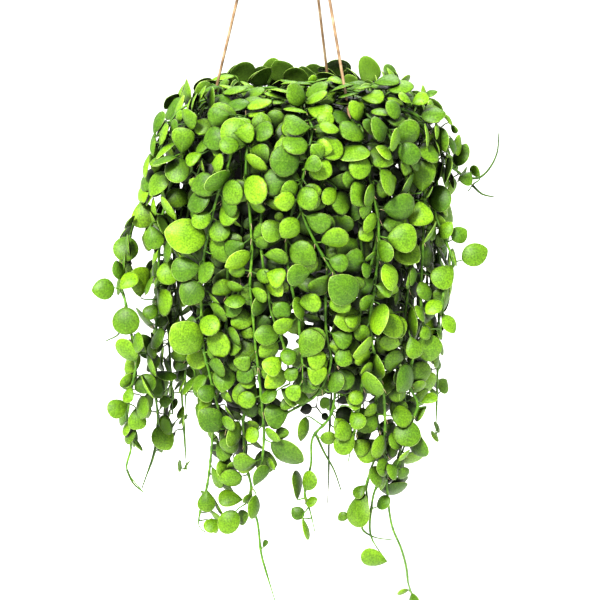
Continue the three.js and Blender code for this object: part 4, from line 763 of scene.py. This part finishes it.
def leaf_at(root, ahead, out, hand, rng, size, lift, spread=(0.7, 1.6)):
    """A leaf to one side of a stem, its face turned out."""
    if root[2] - RIM_HEIGHT > TURN:
        bend = rng.uniform(0.5, 1.9)
        out = unit(out + bend * np.array([out[0], out[1], 0.0]) / max(math.hypot(out[0], out[1]), 0.25)
                   + np.array([rng.uniform(-0.4, 0.4), rng.uniform(-0.4, 0.4), 0.0]))
    down = unit(ahead - out * (ahead @ out))
    level = np.cross(out, down) * hand
    turn = rng.uniform(*spread)
    flat = down * math.cos(turn) + level * math.sin(turn)
    midrib = unit(flat + out * rng.uniform(-0.15, 0.45))
    flat_side = unit(np.cross(out, midrib))
    roll = rng.uniform(-0.75, 0.75)
    side = flat_side * math.cos(roll) + np.cross(midrib, flat_side) * math.sin(roll)
    base = root + out * lift + midrib * rng.uniform(3.5, 6.0)
    return {"base": base, "midrib": midrib, "side": side, "normal": np.cross(midrib, side), "long": size,
            "wide": size * rng.uniform(0.86, 1.04)}


# Strands: each of the frame's is built again and filled with more leaves

def stem_kinds(line):
    """What the stem material reads at each point of a stem: its painted shade, darker inside the plant."""
    shades = [0.5 + 0.5 * math.tanh((depth_inside(p) - 24) / 8) for p in line]
    return np.stack([np.full(len(line), 0.5), np.array(shades) * 0.85, np.zeros(len(line))], 1)


def draw_stem(mesh, line, nodes, rng, radius):
    radii = np.full(len(line), radius) * rng.uniform(0.94, 1.04)
    for i in nodes:
        radii[i] = radius * 1.35
    taper = np.clip((len(line) - np.arange(len(line))) / 8, 0.45, 1)
    tube(mesh, line, radii * taper, 7, 1, stem_kinds(line))


# How added leaves are tried: the room they leave to the frame's own nodes, the tries, the share of
# size lost at each, the length of the small-leaved tip, how far leaves on the dome stand out from
# their stem, and the gap to other blades
NODE_ROOM = 5.0
TRIES = 12
TRY_SHRINK = 0.035
TIP_STRETCH = 40.0
DOME_LIFTS = (2, 12)
LEAF_CLEARANCE = 0.2


def grow_leaves(mesh, line, rng, rods, spacing, sizes, lifts, taken=(), dim=0.8):
    """Pairs of leaves along a stem wherever there is room for them. Returns their nodes."""
    steps = np.concatenate([[0], np.cumsum(np.linalg.norm(np.diff(line, axis=0), axis=1))])
    nodes = []
    at = steps[-1] - 3
    while at > 0:
        i = int(np.argmin(np.abs(steps - at)))
        root = line[i]
        ahead = unit(line[min(i + 1, len(line) - 1)] - line[max(i - 1, 0)])
        over = root[2] - RIM_HEIGHT > MIX_LEVEL + 12
        if over or math.hypot(*root[:2]) > RIM_RADIUS:
            for hand in (1, -1):
                if any(abs(at - steps[j]) < NODE_ROOM for j in taken):
                    continue
                for attempt in range(TRIES):
                    size = rng.uniform(*sizes) * (1 - TRY_SHRINK * attempt)
                    if steps[-1] - at < TIP_STRETCH:
                        size *= 0.6 + 0.4 * (steps[-1] - at) / TIP_STRETCH
                    lift = rng.uniform(*(DOME_LIFTS if root[2] - RIM_HEIGHT > TURN else lifts))
                    leaf = leaf_at(root, ahead, outward(root), hand, rng, size, lift)
                    if not (clear_of_pot(leaf) and seen_well(leaf) and clear_of_rods(leaf, rods)
                            and CROWD.clear(leaf, LEAF_CLEARANCE)):
                        continue
                    CROWD.add(leaf)
                    leaf["dim"] = dim
                    draw_blade(mesh, leaf, rng, PLAIN_BLADE_SIDES)
                    draw_petiole(mesh, root, leaf, 0.4)
                    nodes.append(i)
                    break
        at -= spacing * rng.uniform(0.8, 1.2)
    return nodes


def inner_line(index, count, rng):
    """A stem of the inner layer, from the mix over the rim and down close to the pot."""
    azimuth = 2 * math.pi * (index + rng.uniform(-0.3, 0.3)) / count
    radius = rng.uniform(96, 103)
    drop = rng.uniform(150, 400)
    crest = rng.uniform(2, 9)
    profile = [(34, MIX_LEVEL - ROOT_DEPTH), (35, MIX_LEVEL + 2), (44, crest), (62, crest + 5),
               (80, crest + 3), (radius - 3, crest - 4), (radius, -22)]
    z = -55.0
    while z > -drop:
        profile.append((radius + rng.uniform(-2.5, 3) - max(0.0, (-z - 170) * 0.08), z))
        z -= rng.uniform(26, 40)
    lean, beat, start = rng.uniform(-0.12, 0.12), rng.uniform(50, 110), rng.uniform(0, 6)
    line = []
    for r, z in profile:
        turn = azimuth + lean * math.sin(start + z / beat)
        line.append(np.array([r * math.cos(turn), r * math.sin(turn), z + RIM_HEIGHT]))
    return smooth_path(line, 6.0)


def add_air_roots(mesh, line, nodes, rng):
    """Short dry roots that hang from some of the nodes."""
    for i in nodes:
        if rng.random() > 0.35:
            continue
        start = line[i]
        aside = np.array([rng.uniform(-0.8, 0.8), rng.uniform(-0.8, 0.8), rng.uniform(-1, 0.2)])
        way = unit(outward(start) + aside)
        long = rng.uniform(3, 8)
        t = np.linspace(0, 1, 4)[:, None]
        line_of_root = start + way * long * t + np.array([0, 0, -0.3 * long]) * t * t
        tube(mesh, line_of_root, np.linspace(0.35, 0.15, 4), 4, 2)


# Bare tips of stems, as they are seen from the front: the strand each springs from, and its points
# in the pixels of the photograph's frame
BARE_TIPS = {
    "strand_front_12": [[(465, 178), (478, 178), (489, 169), (497, 153), (499, 133)],
                        [(472, 186), (482, 194), (494, 197)]],
    "strand_front_01": [[(161, 150), (168, 128), (177, 108), (186, 91)],
                        [(127, 306), (120, 332), (106, 341)],
                        [(127, 470), (133, 483), (143, 492)]],
    "strand_front_02": [[(155, 440), (153, 456), (147, 474), (142, 488)]],
    "strand_front_14": [[(312, 432), (324, 452), (334, 470), (341, 490)]],
}


def add_bare_tips(mesh, name, line):
    seen = on_sheet(line)
    for tip in BARE_TIPS.get(name, []):
        i = int(np.argmin(np.linalg.norm(seen - np.array(tip[0]), axis=1)))
        back = -float((line[i] - np.array([0, 0, VIEW_HEIGHT])) @ np.array(TO_VIEWER))
        points = [line[i]] + [sheet_point(u, v, back + 3 * k) for k, (u, v) in enumerate(tip[1:])]
        way = smooth_path(points, 4.0)
        tube(mesh, way, np.linspace(1.3, 0.6, len(way)), 6, 1, (0.5, 0.6, 0.0))


strands = {}
for name in sorted(n for n in NODES if n.startswith("strand")):
    points, leaves = read_strand(NODES[name])
    strands[name] = (smooth_path(points, 5.0), leaves)
    for leaf in leaves:
        CROWD.add(leaf)

# Added leaves: space between nodes along a stem, sizes, and how far they stand out from the stem
EXTRA_SPACING = 15.0
OUTER_SIZES = (21, 31)
INNER_SIZES = (18, 28)
FRONT_LIFTS = (-11, 7)
SIDE_LIFTS = (-8, 8)
INNER_LIFTS = (-4, 9)
STRAND_RADIUS = 1.25
INNER_RADIUS = 1.1

draws = random.Random(41)
INNER_COUNT = 30
inner_lines = [inner_line(i, INNER_COUNT, draws) for i in range(INNER_COUNT)]

rod_points = np.concatenate([line for line, _ in strands.values()] + inner_lines)

for order, (name, (line, leaves)) in enumerate(strands.items()):
    rng = random.Random(order + 7)
    mesh = Mesh()
    nodes = []
    for leaf in leaves:
        root, ahead, i = nearest_on(line, leaf["base"] - leaf["midrib"] * 3)
        nodes.append(i)
        draw_blade(mesh, leaf, rng, FINE_BLADE_SIDES)
        draw_petiole(mesh, root, leaf, 0.0)
    front = name.startswith("strand_front")
    nodes += grow_leaves(mesh, line, rng, rod_points, EXTRA_SPACING, OUTER_SIZES,
                         FRONT_LIFTS if front else SIDE_LIFTS, taken=nodes, dim=0.9 if front else 0.8)
    draw_stem(mesh, line, nodes, rng, STRAND_RADIUS)
    add_air_roots(mesh, line, nodes, rng)
    add_bare_tips(mesh, name, line)
    mesh.build(name + "_looks", [LEAF, STEM, AIR_ROOT], [name])

for order, line in enumerate(inner_lines):
    rng = random.Random(order + 301)
    mesh = Mesh()
    nodes = grow_leaves(mesh, line, rng, rod_points, EXTRA_SPACING, INNER_SIZES, INNER_LIFTS)
    draw_stem(mesh, line, nodes, rng, INNER_RADIUS)
    mesh.build(f"inner_strand_{order + 1:02d}", [LEAF, STEM])


# Pot

def turned(mesh, profile, sides, first=0.0):
    """A surface turned about the pot's axis: pairs of radius and height, outer side to the right."""
    angles = first + 2 * math.pi * np.arange(sides) / sides
    rings = [np.stack([r * np.cos(angles), r * np.sin(angles), np.full(sides, z + RIM_HEIGHT)], 1)
             for r, z in profile]
    faces = [(i * sides + k, i * sides + (k + 1) % sides, (i + 1) * sides + (k + 1) % sides,
              (i + 1) * sides + k) for i in range(len(profile) - 1) for k in range(sides)]
    mesh.add(np.concatenate(rings), faces)


def pierced_plate(mesh, radii, top, bottom, columns, first, holes, span, hole_radius):
    """A flat ring with round holes through it, on its middle radius."""
    inner, middle, outer = radii
    step = 2 * math.pi / columns

    def place(radius, column, z):
        angle = first + step * column
        return np.array([radius * math.cos(angle), radius * math.sin(angle), z + RIM_HEIGHT])

    open_columns = {(h + d) % columns for h in holes for d in range(-span, span)}
    for z, face_up in ((top, True), (bottom, False)):
        points = [place(r, k, z) for r in radii for k in range(columns)]
        faces = [(row * columns + k, (row + 1) * columns + k, (row + 1) * columns + (k + 1) % columns,
                  row * columns + (k + 1) % columns)
                 for row in (0, 1) for k in range(columns) if k not in open_columns]
        mesh.add(points, faces if face_up else [face[::-1] for face in faces])
    for h in holes:
        edge = [(inner, h + d) for d in range(-span, span + 1)] + [(middle, h + span)]
        edge += [(outer, h + d) for d in range(span, -span - 1, -1)] + [(middle, h - span)]
        count = len(edge)
        centre = place(middle, h, 0.0)
        rows = []
        for z in (top, bottom):
            outline = np.array([place(r, k, z) for r, k in edge])
            away = outline - centre
            away[:, 2] = 0
            circle = centre + hole_radius * away / np.linalg.norm(away, axis=1, keepdims=True)
            circle[:, 2] = z + RIM_HEIGHT
            rows += [outline, circle]
        faces = []
        for k in range(count):
            j = (k + 1) % count
            faces.append((j, k, count + k, count + j))
            faces.append((count + j, count + k, 3 * count + k, 3 * count + j))
            faces.append((2 * count + k, 2 * count + j, 3 * count + j, 3 * count + k))
        mesh.add(np.concatenate(rows), faces)


WIRE_RING_RADIUS = 85.0
WIRE_AZIMUTHS = [187, 307, 67]

POT_COLUMNS = 144
POT_FIRST = math.radians(WIRE_AZIMUTHS[2])
FLOOR_TOP = POT_FLOOR - POT_HEIGHT

pot = Mesh()
pierced_plate(pot, (79.2, WIRE_RING_RADIUS, 89.2), 0.0, -RIM_THICKNESS, POT_COLUMNS, POT_FIRST,
              [0, 48, 96], 2, 2.2)
pierced_plate(pot, (24.0, 34.0, 44.0), FLOOR_TOP, -POT_HEIGHT, POT_COLUMNS, POT_FIRST,
              [18, 54, 90, 126], 6, 4.5)
for profile in (
        [(79.0, -RIM_THICKNESS), (79.2, -RIM_THICKNESS)],
        [(89.2, -RIM_THICKNESS), (89.8, -2.7), (90.0, -2.0), (90.0, -1.0), (89.8, -0.3), (89.2, 0.0)],
        [(79.2, 0.0), (77.2, -0.3), (76.6, -1.2), (55.9, FLOOR_TOP + 1.2), (54.6, FLOOR_TOP),
         (44.0, FLOOR_TOP)],
        [(44.0, -POT_HEIGHT), (56.4, -POT_HEIGHT), (57.6, 0.5 - POT_HEIGHT), (58.2, 1.6 - POT_HEIGHT),
         (67.5, -95.0), (68.1, -94.2), (68.8, -90.0), (78.6, -10.0), (79.0, -RIM_THICKNESS)],
        [(0.0, -POT_HEIGHT), (24.0, -POT_HEIGHT)],
        [(24.0, FLOOR_TOP), (0.0, FLOOR_TOP)]):
    turned(pot, profile, POT_COLUMNS, POT_FIRST)
pot.build("pot_looks", [PLASTIC], ["pot"])


# Husk: a lumpy bed with chips and fibres lying on it

def bed_height(x, y):
    wave = 1.6 * math.sin(x / 7 + 1) * math.cos(y / 8)
    lumps = noise.fractal(Vector((x / 11, y / 11, 0.3)), 0.9, 2.1, 4)
    return MIX_LEVEL + wave + 2.2 * lumps


husk = Mesh()
BED_RINGS, BED_SIDES = 36, 120
bed_radius = POT_TOP_RADIUS - POT_WALL - 2.2
points = []
for i in range(BED_RINGS + 1):
    for k in range(BED_SIDES):
        radius, angle = bed_radius * (i + 0.02) / (BED_RINGS + 0.02), 2 * math.pi * k / BED_SIDES
        x, y = radius * math.cos(angle), radius * math.sin(angle)
        points.append((x, y, bed_height(x, y) + RIM_HEIGHT))
faces = [(i * BED_SIDES + k, (i + 1) * BED_SIDES + k, (i + 1) * BED_SIDES + (k + 1) % BED_SIDES,
          i * BED_SIDES + (k + 1) % BED_SIDES) for i in range(BED_RINGS) for k in range(BED_SIDES)]
husk.add(points, faces)
turned(husk, [(0.0, 3.4 - POT_HEIGHT), (54.4, 3.4 - POT_HEIGHT), (73.9, MIX_LEVEL - 4.0),
              (bed_radius, MIX_LEVEL)], BED_SIDES)

stem_feet = np.array([line[0] for line, _ in strands.values()] + [line[0] for line in inner_lines])
CHIPS, FIBRES = 150, 180
rng = random.Random(5)
for _ in range(CHIPS):
    radius, angle = bed_radius * 0.96 * math.sqrt(rng.random()), rng.uniform(0, 2 * math.pi)
    x, y = radius * math.cos(angle), radius * math.sin(angle)
    if np.hypot(stem_feet[:, 0] - x, stem_feet[:, 1] - y).min() < 4.5:
        continue
    long, wide, thick = rng.uniform(4, 11), rng.uniform(2.5, 6), rng.uniform(1.2, 3.0)
    turn = Matrix.Rotation(rng.uniform(0, 6.28), 3, "Z") @ Matrix.Rotation(rng.uniform(-0.5, 0.5), 3, "X")
    turn = np.array(turn @ Matrix.Rotation(rng.uniform(-0.4, 0.4), 3, "Y"))
    corners = []
    for cz in (-0.5, 0.5):
        for cx, cy in ((-0.5, -0.35), (-0.1, -0.5), (0.5, -0.3), (0.45, 0.4), (0.0, 0.5), (-0.5, 0.3)):
            corners.append((cx * long * rng.uniform(0.8, 1.1), cy * wide * rng.uniform(0.8, 1.1),
                            cz * thick * rng.uniform(0.8, 1.1)))
    spot = np.array([x, y, bed_height(x, y) + RIM_HEIGHT + thick * 0.2])
    husk.add(np.array(corners) @ turn.T + spot,
             [(5, 4, 3, 2, 1, 0), (6, 7, 8, 9, 10, 11)]
             + [(k, (k + 1) % 6, 6 + (k + 1) % 6, 6 + k) for k in range(6)])
for _ in range(FIBRES):
    radius, angle = bed_radius * 0.93 * math.sqrt(rng.random()), rng.uniform(0, 2 * math.pi)
    heading, reach = rng.uniform(0, 6.28), rng.uniform(2, 5)
    line = []
    for k in range(5):
        x = radius * math.cos(angle) + reach * (k - 2) * math.cos(heading)
        y = radius * math.sin(angle) + reach * (k - 2) * math.sin(heading)
        heading += rng.uniform(-0.4, 0.4)
        if math.hypot(x, y) < bed_radius - 1:
            line.append((x, y, bed_height(x, y) + RIM_HEIGHT + rng.uniform(0.3, 2.4)))
    if len(line) > 2:
        tube(husk, line, 0.22, 4, closed=False)
husk.build("husk_mix_looks", [HUSK], ["potting_mix"])


# Hanger wires and hook

WIRE_RADIUS = 1.3
GATHER_HEIGHT = 300.0
GATHER_RADIUS = 4.6
FIT_GAP = 0.3
HOOK_WIRE_RADIUS = 2.0
HOOK_BEND_RADIUS = 14.0
HOOK_SHANK_TOP = 336.0
COLLAR_RADIUS = 9.0
COLLAR_HEIGHT = 10.0

under = -RIM_THICKNESS - FIT_GAP - WIRE_RADIUS - 0.4
outside = RIM_RADIUS + FIT_GAP + WIRE_RADIUS + 0.4
WIRE_PROFILE = [
    (GATHER_RADIUS, GATHER_HEIGHT + 5), (GATHER_RADIUS, GATHER_HEIGHT - 3),
    (GATHER_RADIUS + 3, GATHER_HEIGHT - 14),
    (WIRE_RING_RADIUS - 2, 9), (WIRE_RING_RADIUS, 2), (WIRE_RING_RADIUS, -3),
    (WIRE_RING_RADIUS + 1.4, under),
    (outside - 1.6, under), (outside, under + 2), (outside, 2.5),
]
for order, azimuth in enumerate(WIRE_AZIMUTHS):
    angle = math.radians(azimuth)
    rail = [np.array([r * math.cos(angle), r * math.sin(angle), z + RIM_HEIGHT]) for r, z in WIRE_PROFILE]
    line = [rail[0], rail[1]] + list(smooth_path(rail[1:3], 4.0))[1:]
    line += [rail[2] + (rail[3] - rail[2]) * t for t in np.linspace(0.02, 0.98, 30)]
    line += list(smooth_path(rail[3:], 1.0))
    wire = Mesh()
    tube(wire, line, WIRE_RADIUS, 12)
    wire.build(f"hanger_wire_{order + 1}_looks", [WIRE], [f"hanger_wire_{order + 1}"])

hook = Mesh()
neck_foot = GATHER_HEIGHT + COLLAR_HEIGHT
neck = []
for t in np.linspace(0, 1, 14):
    a, b, c, d = (0, neck_foot + 2), (0, neck_foot + 10), (HOOK_BEND_RADIUS, HOOK_SHANK_TOP - 16), (
        HOOK_BEND_RADIUS, HOOK_SHANK_TOP)
    weights = ((1 - t) ** 3, 3 * (1 - t) ** 2 * t, 3 * (1 - t) * t * t, t ** 3)
    neck.append([sum(w * p[i] for w, p in zip(weights, (a, b, c, d))) for i in (0, 1)])
bend = []
for k in range(1, 25):
    around = math.pi * k / 24
    bend.append((HOOK_BEND_RADIUS * math.cos(around), HOOK_SHANK_TOP + HOOK_BEND_RADIUS * math.sin(around)))
rod = [(0, neck_foot - 3), *neck, *bend]
rod += [(-HOOK_BEND_RADIUS, HOOK_SHANK_TOP - 2.5), (-HOOK_BEND_RADIUS, HOOK_SHANK_TOP - 5)]
tube(hook, [(x, 0, z + RIM_HEIGHT) for x, z in rod], HOOK_WIRE_RADIUS, 16)
turned(hook, [(0, GATHER_HEIGHT), (COLLAR_RADIUS - 0.8, GATHER_HEIGHT), (COLLAR_RADIUS, GATHER_HEIGHT + 0.8),
              (COLLAR_RADIUS, neck_foot - 0.8), (COLLAR_RADIUS - 0.8, neck_foot), (3.0, neck_foot),
              (2.4, neck_foot + 1.2), (0, neck_foot + 1.2)], 40)
hook.build("hook_looks", [WIRE], ["hook"])


# Studio: a pale floor half a metre below the lowest tip, and soft round lights before and behind

FLOOR_DROP = 0.5
lowest = min(v.co.z for o in bpy.data.objects if o.type == "MESH" for v in o.data.vertices)
data = bpy.data.meshes.new("studio_floor")
corners = [(x, y, lowest - FLOOR_DROP) for x, y in ((-14, -6), (14, -6), (14, 22), (-14, 22))]
data.from_pydata(corners, [], [(0, 1, 2, 3)])
data.materials.append(floor_material())
floor = bpy.data.objects.new("studio_floor", data)
bpy.context.scene.collection.objects.link(floor)


def add_light(name, place, aim, size, watts, colour):
    data = bpy.data.lights.new(name, "AREA")
    data.shape = "DISK"
    data.size = size
    data.energy = watts
    data.color = colour
    light = bpy.data.objects.new(name, data)
    light.location = place
    light.rotation_euler = (Vector(aim) - Vector(place)).to_track_quat("-Z", "Y").to_euler()
    bpy.context.scene.collection.objects.link(light)


MIDDLE = (0, 0, VIEW_HEIGHT * METRES)
add_light("key", (-1.1, -2.4, 2.5), MIDDLE, 0.7, 440, (1.0, 0.98, 0.92))
add_light("back", (0.6, 2.8, 2.4), MIDDLE, 2.0, 110, (0.97, 0.99, 1.0))

world = bpy.data.worlds.new("studio")
world.use_nodes = True
world.node_tree.nodes["Background"].inputs["Color"].default_value = (1, 1, 1, 1)
world.node_tree.nodes["Background"].inputs["Strength"].default_value = 1.0
bpy.context.scene.world = world
bpy.context.scene.view_settings.view_transform = "Standard"

add_camera()
bpy.context.view_layer.update()
